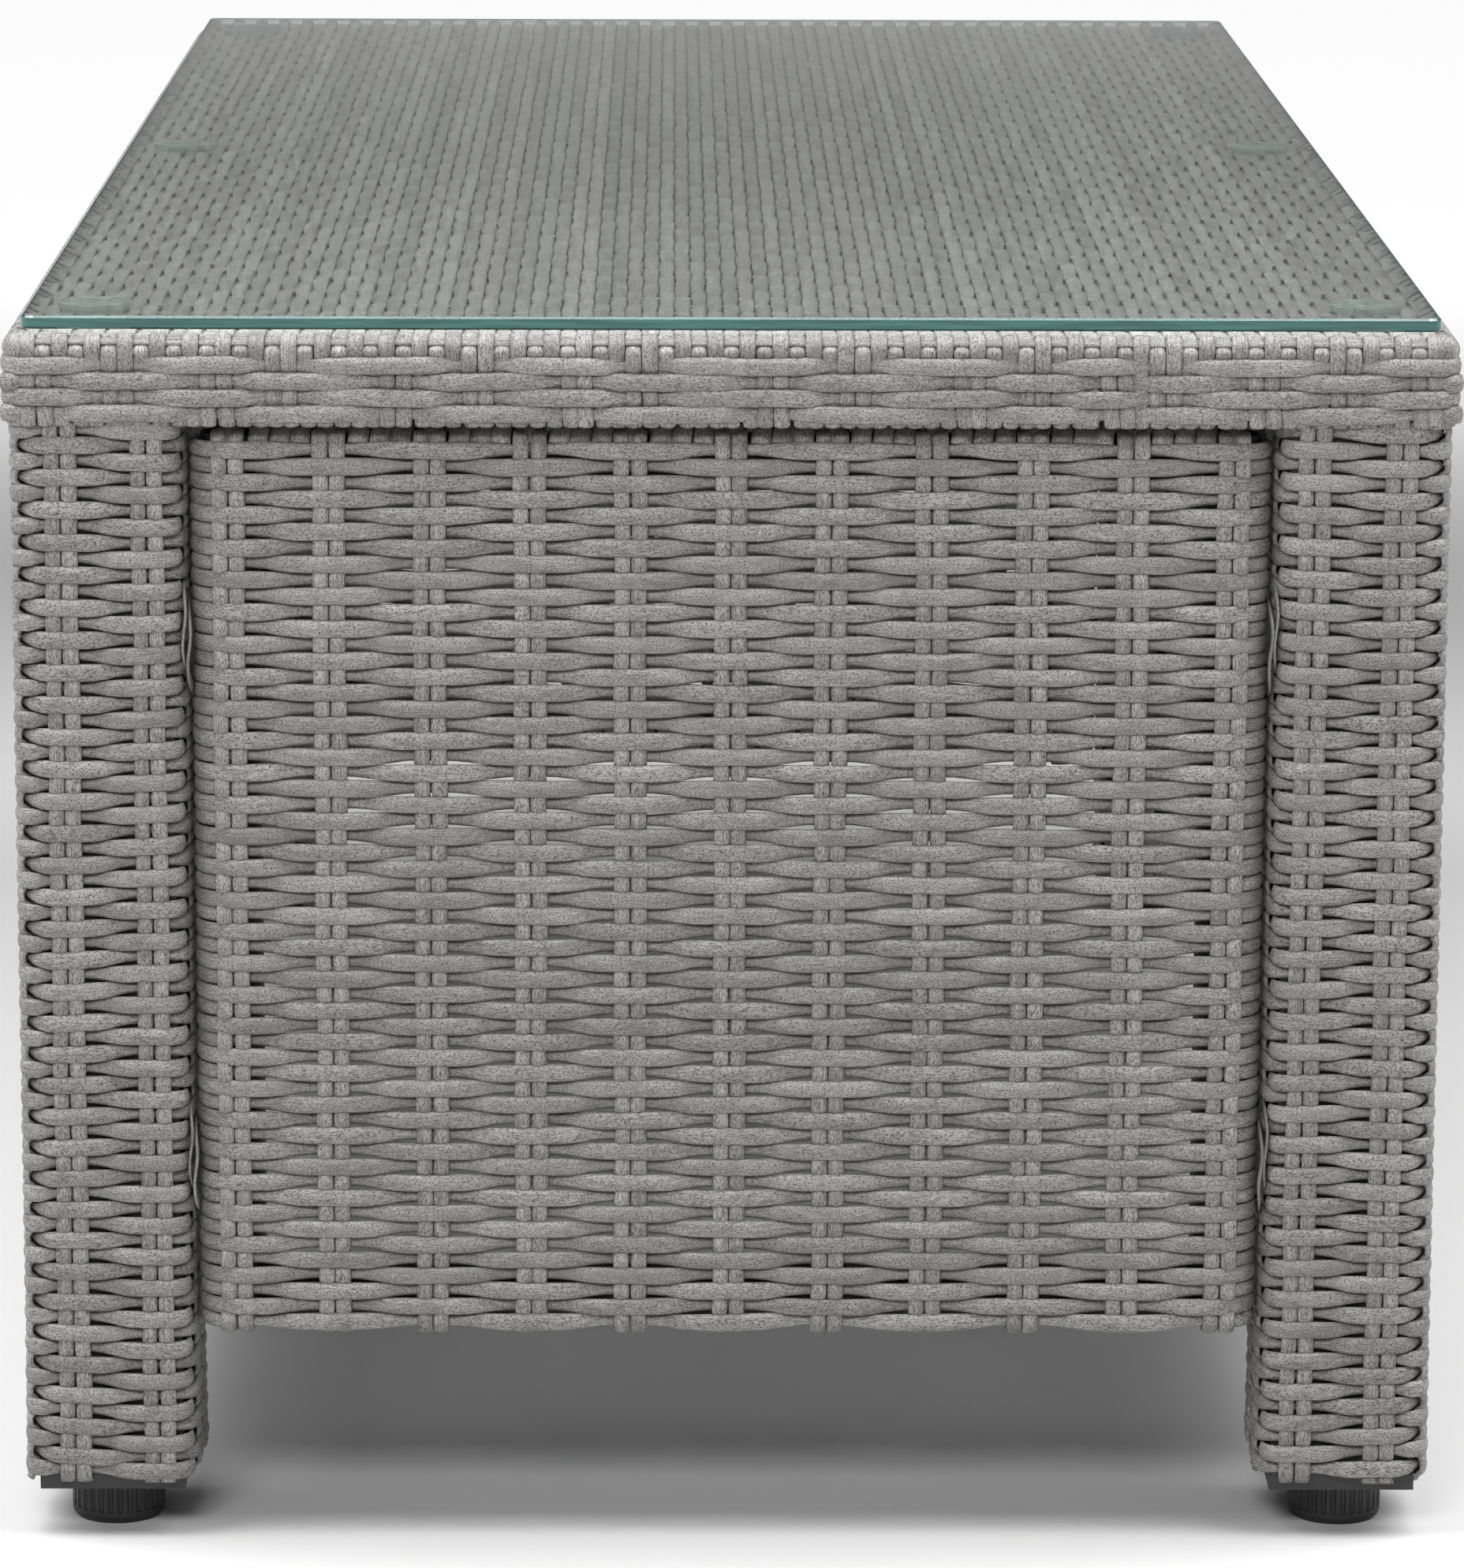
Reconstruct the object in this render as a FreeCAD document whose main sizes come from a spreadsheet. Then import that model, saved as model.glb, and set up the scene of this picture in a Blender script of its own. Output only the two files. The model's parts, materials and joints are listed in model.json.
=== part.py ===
import FreeCAD, Part
import os
import re
import Sketcher

# Wicker coffee table: a steel frame wrapped in woven strands, with a loose glass top and four
# levelling feet. +Z is up, Y runs along the table, and the origin is on the floor under its centre.

doc = FreeCAD.newDocument("WickerCoffeeTable")

# ---------------------------------------------------------------- driving dimensions, millimetres

sheet = doc.addObject("Spreadsheet::Sheet", "Dimensions")
DIMENSIONS = [
    # the whole table
    ("table_width", 546),
    ("table_length", 1092),
    ("table_height", 476),
    # glass top and the clear pads under it
    ("glass_thickness", 5),
    ("glass_inset", 7),
    ("glass_corner", 5),
    ("glass_chamfer", 0.8),
    ("pad_radius", 14),
    ("pad_thickness", 2.4),
    ("pad_side_offset", 32),
    ("pad_end_offset", 50),
    # woven tabletop and rim
    ("top_weave", 4),
    ("rim_height", 32.6),
    ("rim_skin", 3.5),
    ("fit_gap", 0.1),
    # square tubes of the tabletop frame
    ("rail_size", 25),
    ("rail_wall", 1.5),
    ("slat_width", 25),
    ("slat_height", 15),
    # legs
    ("leg_overhang", 2.5),
    ("leg_skin", 4.5),
    ("post_size", 56),
    ("post_wall", 1.5),
    ("post_corner", 2),
    # end caps
    ("cap_flange", 6),
    ("cap_plug", 20),
    ("cap_wall", 2.5),
    ("cap_floor", 4),
    ("boss_radius", 11),
    # levelling feet
    ("foot_height", 18),
    ("glide_radius", 18),
    ("glide_height", 17.7),
    ("glide_round", 3),
    ("flute_radius", 1.1),
    ("flute_count", 30),
    ("flute_floor", 4.5),
    ("stud_radius", 4),
    ("stud_length", 42),
    ("stud_start", 6),
    ("thread_pitch", 1.25),
    ("thread_depth", 0.6),
    ("thread_turns", 26),
    ("run_gap", 0.05),
    ("nut_flats", 13),
    ("nut_height", 6.5),
    # woven panels between the legs
    ("panel_gap", 2),
    ("panel_setback", 3),
    ("panel_low", 81),
    ("panel_skin", 3.5),
    ("panel_weave", 7),
    ("panel_round", 10),
    ("tube_radius", 11),
    ("tube_wall", 1.2),
    ("lug_height", 20),
    ("lug_thickness", 6),
    ("lug_low", 150),
    ("lug_high", 353),
    ("lug_overlap", 1),
    ("hole_overlap", 2),
]
for row, (alias, value) in enumerate(DIMENSIONS, start=1):
    sheet.set(f"A{row}", alias)
    sheet.set(f"B{row}", str(value))
    sheet.setAlias(f"B{row}", alias)
doc.recompute()


SHEET_NAMES = re.compile(r"\b(" + "|".join(alias for alias, _ in DIMENSIONS) + r")\b")


def sized(text):
    """An expression in sheet names, written plainly, with each name tied to the sheet."""
    return SHEET_NAMES.sub(r"Dimensions.\1", text)


# heights and offsets that several pieces share, written in sheet names
GLASS_BOTTOM = "(table_height - glass_thickness)"
WEAVE_TOP = f"({GLASS_BOTTOM} - pad_thickness)"
RAIL_TOP = f"({WEAVE_TOP} - top_weave)"
RAIL_BOTTOM = f"({RAIL_TOP} - rail_size)"
RIM_BOTTOM = f"({WEAVE_TOP} - rim_height)"
PANEL_TOP = f"({RIM_BOTTOM} - panel_gap)"
PANEL_TALL = f"({PANEL_TOP} - panel_low)"
HALF_WIDTH = "(table_width / 2)"
HALF_LENGTH = "(table_length / 2)"
RAIL_FACE = "(rim_skin + fit_gap)"
POST_FACE = "(leg_overhang + leg_skin)"
LEG_SIZE = "(post_size + 2 * leg_skin)"
POST_FROM_EDGE = f"({POST_FACE} + post_size / 2)"
CAP_TOP = "(foot_height + cap_flange)"
TUBE_FROM_EDGE = "(leg_overhang + panel_setback + panel_skin + tube_radius)"
STILE_FROM_LEG = "(panel_gap + panel_skin + tube_radius)"
LEG_INNER_X = f"({HALF_WIDTH} - leg_overhang - {LEG_SIZE})"
LEG_INNER_Y = f"({HALF_LENGTH} - leg_overhang - {LEG_SIZE})"


def bind(item, **properties):
    """Tie properties to sheet expressions; a double underscore stands for the dot of a sub-property."""
    for name, text in properties.items():
        item.setExpression(name.replace("__", "."), sized(text))
    return item


def place(item, x="0", y="0", z="0"):
    return bind(item, Placement__Base__x=x, Placement__Base__y=y, Placement__Base__z=z)


def turn(item, axis, degrees):
    item.Placement = FreeCAD.Placement(item.Placement.Base, FreeCAD.Rotation(axis, degrees))
    return item


X_AXIS = FreeCAD.Vector(1, 0, 0)
Y_AXIS = FreeCAD.Vector(0, 1, 0)
Z_AXIS = FreeCAD.Vector(0, 0, 1)

subparts = []


def keep(item, label):
    """Name a finished sub-part; its label is its node's name."""
    item.Label = label
    subparts.append(item)
    return item


# ---------------------------------------------------------------- primitives tied to the sheet

def box(name, x, y, z, wide, deep, tall):
    """A box from its lowest corner and its sizes, all sheet expressions."""
    item = doc.addObject("Part::Box", name)
    bind(item, Length=wide, Width=deep, Height=tall)
    return place(item, x, y, z)


def centred_box(name, x, y, z, wide, deep, tall):
    """A box standing on z, centred on x and y."""
    return box(name, f"{x} - ({wide}) / 2", f"{y} - ({deep}) / 2", z, wide, deep, tall)


def cylinder(name, x, y, z, radius, tall):
    item = doc.addObject("Part::Cylinder", name)
    bind(item, Radius=radius, Height=tall)
    return place(item, x, y, z)


def level_cylinder(name, along, x, y, z, radius, tall):
    """A cylinder that lies along X or Y, from the point given."""
    item = cylinder(name, x, y, z, radius, tall)
    return turn(item, Y_AXIS, 90) if along == "X" else turn(item, X_AXIS, -90)


def cut(name, base, tool):
    item = doc.addObject("Part::Cut", name)
    item.Base = base
    item.Tool = tool
    return item


def fuse(name, shapes):
    item = doc.addObject("Part::MultiFuse", name)
    item.Shapes = shapes
    return item


# ---------------------------------------------------------------- PartDesign helpers

def body(name):
    return doc.addObject("PartDesign::Body", name)


def base_plane(owner, role):
    return next(item for item in owner.Origin.OriginFeatures if item.Role == role)


def sketch(owner, name, role, height="0"):
    item = owner.newObject("Sketcher::SketchObject", name)
    item.AttachmentSupport = [(base_plane(owner, role), "")]
    item.MapMode = "FlatFace"
    bind(item, AttachmentOffset__Base__z=height)
    return item


def outline(item, points):
    """A closed outline of straight edges through the points; returns the first edge's index."""
    first = item.GeometryCount
    for start, end in zip(points, points[1:] + points[:1]):
        item.addGeometry(Part.LineSegment(FreeCAD.Vector(*start, 0), FreeCAD.Vector(*end, 0)), False)
    count = len(points)
    for step in range(count):
        following = first + (step + 1) % count
        item.addConstraint(Sketcher.Constraint("Coincident", first + step, 2, following, 1))
    return first


FIRST_VALUE = 5.0


def name_length(item, kind, where, text):
    """A named dimension in a sketch, tied to the sheet, which replaces its first value."""
    index = item.addConstraint(Sketcher.Constraint(kind, *where, FIRST_VALUE))
    label = f"size{index}"
    item.renameConstraint(index, label)
    item.setExpression(f"Constraints.{label}", sized(text))


ORIGIN = (-1, 1)


def centred_rectangle(item, wide, deep):
    """A rectangle centred on the sketch's origin."""
    first = outline(item, [(-10, -10), (10, -10), (10, 10), (-10, 10)])
    for step, kind in enumerate(["Horizontal", "Vertical", "Horizontal", "Vertical"]):
        item.addConstraint(Sketcher.Constraint(kind, first + step))
    item.addConstraint(Sketcher.Constraint("Symmetric", first, 1, first + 2, 1, *ORIGIN))
    name_length(item, "DistanceX", (first, 1, first, 2), wide)
    name_length(item, "DistanceY", (first + 1, 1, first + 1, 2), deep)
    return first


def centred_circle(item, radius):
    """A circle centred on the sketch's origin."""
    circle = item.addGeometry(Part.Circle(FreeCAD.Vector(0, 0, 0), Z_AXIS, 5), False)
    item.addConstraint(Sketcher.Constraint("Coincident", circle, 3, *ORIGIN))
    name_length(item, "Radius", (circle,), radius)
    return circle


def pad(owner, name, profile, tall):
    item = owner.newObject("PartDesign::Pad", name)
    item.Profile = profile
    return bind(item, Length=tall)


def pocket(owner, name, profile, deep, upward=False):
    item = owner.newObject("PartDesign::Pocket", name)
    item.Profile = profile
    item.Reversed = upward
    return bind(item, Length=deep)


def upright_edges(item):
    """Names of the straight edges that stand along Z."""
    names = []
    for number, edge in enumerate(item.Shape.Edges, start=1):
        low, high = edge.BoundBox.ZMin, edge.BoundBox.ZMax
        if abs(edge.Length - (high - low)) < 1e-6:
            names.append(f"Edge{number}")
    return names


def rims_at(item, height):
    """Names of the edges that lie level at the height."""
    names = []
    for number, edge in enumerate(item.Shape.Edges, start=1):
        flat = edge.BoundBox.ZLength < 1e-6
        if flat and abs(edge.BoundBox.ZMin - height) < 1e-6:
            names.append(f"Edge{number}")
    return names


def dressing(owner, kind, name, base, edges, size):
    """A fillet or a chamfer on some edges of the feature before it."""
    item = owner.newObject(f"PartDesign::{kind}", name)
    item.Base = (base, edges)
    return bind(item, **{"Radius" if kind == "Fillet" else "Size": size})


# ---------------------------------------------------------------- glass top and pads

def make_glass():
    """One sheet of tempered glass with rounded corners and ground edges."""
    owner = body("GlassBody")
    profile = sketch(owner, "GlassOutline", "XY_Plane")
    centred_rectangle(profile, "table_width - 2 * glass_inset", "table_length - 2 * glass_inset")
    plate = pad(owner, "GlassPlate", profile, "glass_thickness")
    doc.recompute()
    rounded = dressing(owner, "Fillet", "GlassCorners", plate, upright_edges(plate), "glass_corner")
    doc.recompute()
    thickness = sheet.glass_thickness
    edges = rims_at(rounded, 0) + rims_at(rounded, thickness)
    dressing(owner, "Chamfer", "GlassEdges", rounded, edges, "glass_chamfer")
    keep(place(owner, z=GLASS_BOTTOM), "glass_top")


def make_pads():
    """Clear round pads, three along each long side, that carry the glass."""
    discs = []
    side = f"({HALF_WIDTH} - pad_side_offset)"
    end = f"({HALF_LENGTH} - pad_end_offset)"
    for number, (across, along) in enumerate([(i, j) for i in (-1, 1) for j in (-1, 0, 1)], start=1):
        x, y = f"{across} * {side}", f"{along} * {end}"
        discs.append(cylinder(f"Pad{number}", x, y, WEAVE_TOP, "pad_radius", "pad_thickness"))
    keep(fuse("Pads", discs), "glass_pads")


# ---------------------------------------------------------------- tabletop frame

def square_tube(name, label, along, x, y, length, size, height, wall):
    """A tube lying along X or Y, centred on x and y, with its top against the flat weave."""
    low = f"({RAIL_TOP} - {height})"
    hollow_size, hollow_height = f"({size} - 2 * {wall})", f"({height} - 2 * {wall})"
    hollow_low = f"({low} + {wall})"
    if along == "X":
        outer = centred_box(f"{name}Outer", x, y, low, length, size, height)
        inner = centred_box(f"{name}Inner", x, y, hollow_low, length, hollow_size, hollow_height)
    else:
        outer = centred_box(f"{name}Outer", x, y, low, size, length, height)
        inner = centred_box(f"{name}Inner", x, y, hollow_low, hollow_size, length, hollow_height)
    keep(cut(name, outer, inner), label)


def make_top_frame():
    """Four rails under the tabletop's edges and three slats across between the long rails."""
    end_y = f"({HALF_LENGTH} - {RAIL_FACE} - rail_size / 2)"
    side_x = f"({HALF_WIDTH} - {RAIL_FACE} - rail_size / 2)"
    end_length = f"(table_width - 2 * {RAIL_FACE})"
    side_length = f"(table_length - 2 * {RAIL_FACE} - 2 * rail_size)"
    inner_width = f"(table_width - 2 * {RAIL_FACE} - 2 * rail_size)"
    rail = ("rail_size", "rail_size", "rail_wall")
    square_tube("RailFront", "top_rail_front", "X", "0", f"-{end_y}", end_length, *rail)
    square_tube("RailBack", "top_rail_back", "X", "0", end_y, end_length, *rail)
    square_tube("RailLeft", "top_rail_left", "Y", f"-{side_x}", "0", side_length, *rail)
    square_tube("RailRight", "top_rail_right", "Y", side_x, "0", side_length, *rail)
    slat = ("slat_width", "slat_height", "rail_wall")
    for name, step in (("front", -1), ("middle", 0), ("back", 1)):
        y = f"{step} * table_length / 4"
        square_tube(f"Slat{name.title()}", f"top_slat_{name}", "X", "0", y, inner_width, *slat)


# ---------------------------------------------------------------- woven tabletop and rim

def make_top_weave():
    """The flat weave under the glass, as one sheet over the whole frame."""
    sheet_box = centred_box("TopWeave", "0", "0", RAIL_TOP, "table_width", "table_length", "top_weave")
    keep(sheet_box, "tabletop_weave")


def make_rim_weave():
    """Bands round the tabletop's edge: a wall outside each rail and a lip under it between the legs."""
    wall_tall = f"({RAIL_TOP} - {RIM_BOTTOM})"
    lip_tall = f"({RAIL_BOTTOM} - fit_gap - {RIM_BOTTOM})"
    lip_deep = "(rim_skin + rail_size)"
    for name, side in (("front", -1), ("back", 1)):
        edge = "-table_length / 2" if side < 0 else "(table_length / 2 - rim_skin)"
        wall = box(f"Rim{name}Wall", f"-{HALF_WIDTH}", edge, RIM_BOTTOM, "table_width", "rim_skin", wall_tall)
        lip_edge = "-table_length / 2" if side < 0 else f"(table_length / 2 - {lip_deep})"
        lip_wide = f"(2 * {LEG_INNER_X})"
        lip = box(f"Rim{name}Lip", f"-{LEG_INNER_X}", lip_edge, RIM_BOTTOM, lip_wide, lip_deep, lip_tall)
        keep(fuse(f"Rim{name}", [wall, lip]), f"rim_weave_{name}")
    wall_long = "(table_length - 2 * rim_skin)"
    for name, side in (("left", -1), ("right", 1)):
        edge = "-table_width / 2" if side < 0 else "(table_width / 2 - rim_skin)"
        start = "(rim_skin - table_length / 2)"
        wall = box(f"Rim{name}Wall", edge, start, RIM_BOTTOM, "rim_skin", wall_long, wall_tall)
        lip_edge = "-table_width / 2" if side < 0 else f"(table_width / 2 - {lip_deep})"
        lip_long = f"(2 * {LEG_INNER_Y})"
        lip = box(f"Rim{name}Lip", lip_edge, f"-{LEG_INNER_Y}", RIM_BOTTOM, lip_deep, lip_long, lip_tall)
        keep(fuse(f"Rim{name}", [wall, lip]), f"rim_weave_{name}")


# ---------------------------------------------------------------- lugs between panels and legs

def make_lugs():
    """Short welded bars that join each stile to its leg post through the weave, at two heights."""
    bars, stiles = [], []
    reach = "(leg_skin + panel_gap + panel_skin + lug_overlap)"
    end_y = f"({HALF_LENGTH} - {TUBE_FROM_EDGE})"
    side_x = f"({HALF_WIDTH} - {TUBE_FROM_EDGE})"
    post_x = f"({HALF_WIDTH} - {POST_FACE} - post_size)"
    post_y = f"({HALF_LENGTH} - {POST_FACE} - post_size)"
    stile_x = f"({LEG_INNER_X} - {STILE_FROM_LEG})"
    stile_y = f"({LEG_INNER_Y} - {STILE_FROM_LEG})"
    for across, along in ((-1, -1), (-1, 1), (1, -1), (1, 1)):
        to_end = (f"({across} * ({post_x} - {reach} / 2))", f"({along} * {end_y})")
        to_side = (f"({across} * {side_x})", f"({along} * ({post_y} - {reach} / 2))")
        for middle in ("lug_low", "lug_high"):
            low = f"({middle} - lug_height / 2)"
            name = f"Lug{len(bars)}"
            bars.append(centred_box(name, *to_end, low, reach, "lug_thickness", "lug_height"))
            name = f"Lug{len(bars)}"
            bars.append(centred_box(name, *to_side, low, "lug_thickness", reach, "lug_height"))
        ends = (f"({across} * {stile_x})", f"({along} * {end_y})")
        sides = (f"({across} * {side_x})", f"({along} * {stile_y})")
        for place_x, place_y in (ends, sides):
            name = f"LugEnd{len(stiles)}"
            stiles.append(cylinder(name, place_x, place_y, "panel_low", "tube_radius", PANEL_TALL))
    lugs = cut("LugBars", fuse("LugBoxes", bars), fuse("LugEnds", stiles))
    return keep(lugs, "panel_lugs")


# ---------------------------------------------------------------- legs

def make_post(name, label, x, y):
    """Square tube from the end cap's flange to the underside of the rails, with rounded corners."""
    owner = body(f"{name}PostBody")
    tall = f"({RAIL_BOTTOM} - {CAP_TOP})"
    profile = sketch(owner, f"{name}PostOutline", "XY_Plane")
    centred_rectangle(profile, "post_size", "post_size")
    solid = pad(owner, f"{name}PostSolid", profile, tall)
    doc.recompute()
    edges = upright_edges(solid)
    dressing(owner, "Fillet", f"{name}PostCorners", solid, edges, "post_corner")
    hollow = sketch(owner, f"{name}PostHollow", "XY_Plane")
    centred_rectangle(hollow, "post_size - 2 * post_wall", "post_size - 2 * post_wall")
    pocket(owner, f"{name}PostBore", hollow, tall, upward=True)
    keep(place(owner, x, y, CAP_TOP), label)


def make_leg_weave(name, label, x, y, lugs):
    """The closed woven sleeve round a post, up to the rim band, with the lugs' slots."""
    tall = f"({RIM_BOTTOM} - {CAP_TOP} - fit_gap)"
    bore_size = "(post_size + 2 * fit_gap)"
    outer = centred_box(f"{name}SleeveOuter", x, y, CAP_TOP, LEG_SIZE, LEG_SIZE, tall)
    inner = centred_box(f"{name}SleeveInner", x, y, CAP_TOP, bore_size, bore_size, tall)
    sleeve = cut(f"{name}Sleeve", outer, inner)
    keep(cut(f"{name}SleeveSlots", sleeve, lugs), label)


def make_end_cap(name, label, x, y):
    """Push-in cap: a flange under the post, a hollow plug inside it, and a boss for the nut."""
    owner = body(f"{name}CapBody")
    plate = sketch(owner, f"{name}CapPlate", "XY_Plane")
    centred_rectangle(plate, "post_size", "post_size")
    pad(owner, f"{name}CapFlange", plate, "cap_flange")
    plug_size = "(post_size - 2 * post_wall - 2 * fit_gap)"
    plug = sketch(owner, f"{name}CapPlug", "XY_Plane", "cap_flange")
    centred_rectangle(plug, plug_size, plug_size)
    pad(owner, f"{name}CapPlugPad", plug, "cap_plug")
    well = sketch(owner, f"{name}CapWell", "XY_Plane", "cap_floor + cap_flange")
    well_size = f"({plug_size} - 2 * cap_wall)"
    centred_rectangle(well, well_size, well_size)
    centred_circle(well, "boss_radius")
    pocket(owner, f"{name}CapHollow", well, "cap_plug", upward=True)
    bore = sketch(owner, f"{name}CapBore", "XY_Plane")
    centred_circle(bore, "stud_radius + run_gap")
    pocket(owner, f"{name}CapStudHole", bore, "cap_flange + cap_plug", upward=True)
    doc.recompute()
    nut_low = f"({CAP_TOP} + cap_plug - nut_height)"
    seat = doc.addObject("Part::Prism", f"{name}NutSeat")
    seat.Polygon = 6
    bind(seat, Circumradius="(nut_flats + 2 * fit_gap) / (2 * cos(30 deg))", Height="nut_height + fit_gap")
    place(seat, x, y, nut_low)
    keep(cut(f"{name}Cap", place(owner, x, y, "foot_height"), seat), label)


def make_nut(name, x, y):
    """Hexagon nut held in the end cap's boss."""
    prism = doc.addObject("Part::Prism", f"{name}NutPrism")
    prism.Polygon = 6
    bind(prism, Circumradius="nut_flats / (2 * cos(30 deg))", Height="nut_height")
    low = f"({CAP_TOP} + cap_plug - nut_height)"
    place(prism, x, y, low)
    bore = cylinder(f"{name}NutBore", x, y, low, "stud_radius + run_gap", "nut_height")
    return cut(f"{name}Nut", prism, bore)


def make_stud(name, label, x, y):
    """Threaded stud; the thread is a row of ring grooves at the thread's pitch."""
    owner = body(f"{name}StudBody")
    profile = sketch(owner, f"{name}StudOutline", "XY_Plane")
    centred_circle(profile, "stud_radius")
    shank = pad(owner, f"{name}StudShank", profile, "stud_length")
    doc.recompute()
    top = rims_at(shank, sheet.stud_length)
    dressing(owner, "Chamfer", f"{name}StudTip", shank, top, "thread_depth")
    notch = sketch(owner, f"{name}ThreadNotch", "XZ_Plane")
    reach, rise = sheet.stud_radius, sheet.stud_length / 2
    half = sheet.thread_pitch / 2
    depth = sheet.thread_depth
    first = outline(notch, [(reach, rise - half), (reach, rise + half), (reach - depth, rise)])
    notch.addConstraint(Sketcher.Constraint("Vertical", first))
    name_length(notch, "DistanceX", (*ORIGIN, first, 1), "stud_radius")
    name_length(notch, "DistanceY", (first, 1, first, 2), "thread_pitch * 0.9")
    name_length(notch, "DistanceX", (first + 1, 2, first, 1), "thread_depth")
    name_length(notch, "DistanceY", (first, 1, first + 1, 2), "thread_pitch * 0.45")
    name_length(notch, "DistanceY", (*ORIGIN, first, 1), "foot_height - stud_start - thread_pitch")
    groove = owner.newObject("PartDesign::Groove", f"{name}ThreadRing")
    groove.Profile = notch
    groove.ReferenceAxis = (notch, ["V_Axis"])
    groove.Angle = 360
    doc.recompute()
    rings = owner.newObject("PartDesign::LinearPattern", f"{name}ThreadRings")
    rings.Originals = [groove]
    rings.Direction = (profile, ["N_Axis"])
    bind(rings, Occurrences="thread_turns", Length="thread_pitch * (thread_turns - 1)")
    owner.Tip = rings
    keep(place(owner, x, y, "stud_start"), label)


def make_glide(name, label, x, y):
    """Round foot with a rounded lower edge, flutes round its side and a bore for the stud."""
    owner = body(f"{name}GlideBody")
    profile = sketch(owner, f"{name}GlideOutline", "XY_Plane")
    centred_circle(profile, "glide_radius")
    disc = pad(owner, f"{name}GlideDisc", profile, "glide_height")
    doc.recompute()
    lower = rims_at(disc, 0)
    dressing(owner, "Fillet", f"{name}GlideEdge", disc, lower, "glide_round")
    bore = sketch(owner, f"{name}GlideBore", "XY_Plane", "stud_start - run_gap")
    centred_circle(bore, "stud_radius + run_gap")
    pocket(owner, f"{name}GlideStudHole", bore, "glide_height", upward=True)
    mark = sketch(owner, f"{name}FluteMark", "XY_Plane", "flute_floor")
    flute = mark.addGeometry(Part.Circle(FreeCAD.Vector(sheet.glide_radius, 0, 0), Z_AXIS, 1), False)
    mark.addConstraint(Sketcher.Constraint("PointOnObject", flute, 3, -1))
    name_length(mark, "Radius", (flute,), "flute_radius")
    name_length(mark, "DistanceX", (*ORIGIN, flute, 3), "glide_radius + flute_radius * 0.35")
    channel = pocket(owner, f"{name}Flute", mark, "glide_height", upward=True)
    doc.recompute()
    ring = owner.newObject("PartDesign::PolarPattern", f"{name}Flutes")
    ring.Originals = [channel]
    ring.Axis = (profile, ["N_Axis"])
    ring.Angle = 360
    bind(ring, Occurrences="flute_count")
    owner.Tip = ring
    keep(place(owner, x, y), label)


def make_legs(lugs):
    nuts = []
    for end, along in (("front", -1), ("back", 1)):
        for hand, across in (("left", -1), ("right", 1)):
            name, label = f"{end.title()}{hand.title()}", f"{end}_{hand}"
            x = f"({across} * ({HALF_WIDTH} - {POST_FROM_EDGE}))"
            y = f"({along} * ({HALF_LENGTH} - {POST_FROM_EDGE}))"
            make_post(name, f"leg_post_{label}", x, y)
            make_leg_weave(name, f"leg_weave_{label}", x, y, lugs)
            make_end_cap(name, f"end_cap_{label}", x, y)
            make_stud(name, f"foot_stud_{label}", x, y)
            make_glide(name, f"foot_glide_{label}", x, y)
            nuts.append(make_nut(name, x, y))
    keep(fuse("Nuts", nuts), "foot_nuts")


# ---------------------------------------------------------------- woven panels between the legs

PANEL_DEEP = "(2 * (tube_radius + panel_skin))"
RAIL_LOW_Z = "(panel_low + panel_skin + tube_radius)"
RAIL_HIGH_Z = f"({PANEL_TOP} - panel_skin - tube_radius)"
STILE_LOW = "(panel_low + panel_skin)"
STILE_TALL = f"({PANEL_TALL} - 2 * panel_skin)"
SHORT_STILE_LOW = "(panel_low + panel_skin + 2 * tube_radius)"
SHORT_STILE_TALL = f"({STILE_TALL} - 4 * tube_radius)"


def across_or_along(direction, offset, position):
    """Turn a place along the panel and its distance from the centre line into x and y."""
    return (offset, position) if direction == "X" else (position, offset)


def panel_box(name, direction, offset, position, low, run, deep, tall):
    """A box centred on a place in the panel, its run along the panel."""
    x, y = across_or_along(direction, offset, position)
    wide, thick = (run, deep) if direction == "X" else (deep, run)
    return centred_box(name, x, y, low, wide, thick, tall)


def make_stile(name, label, x, y, low, tall):
    """A round upright tube of a panel's frame."""
    outer = cylinder(f"{name}Outer", x, y, low, "tube_radius", tall)
    inner = cylinder(f"{name}Inner", x, y, low, "tube_radius - tube_wall", tall)
    keep(cut(name, outer, inner), label)


def make_level_rail(name, label, direction, x, y, height, run):
    """A round level tube of a panel's frame."""
    outer = level_cylinder(f"{name}Outer", direction, x, y, height, "tube_radius", run)
    inner = level_cylinder(f"{name}Inner", direction, x, y, height, "tube_radius - tube_wall", run)
    keep(cut(name, outer, inner), label)


def rounded_block(name, block):
    """The block with its long outer edges rounded, as strands are where they turn round a tube."""
    doc.recompute()
    radius = sheet.panel_round
    extent = block.Shape.BoundBox
    thin = min(extent.XLength, extent.YLength)
    numbers = []
    for number, edge in enumerate(block.Shape.Edges, start=1):
        if abs(edge.Length - thin) > 1e-6:
            numbers.append((number, radius, radius))
    item = doc.addObject("Part::Fillet", name)
    item.Base = block
    item.Edges = numbers
    return item


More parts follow.
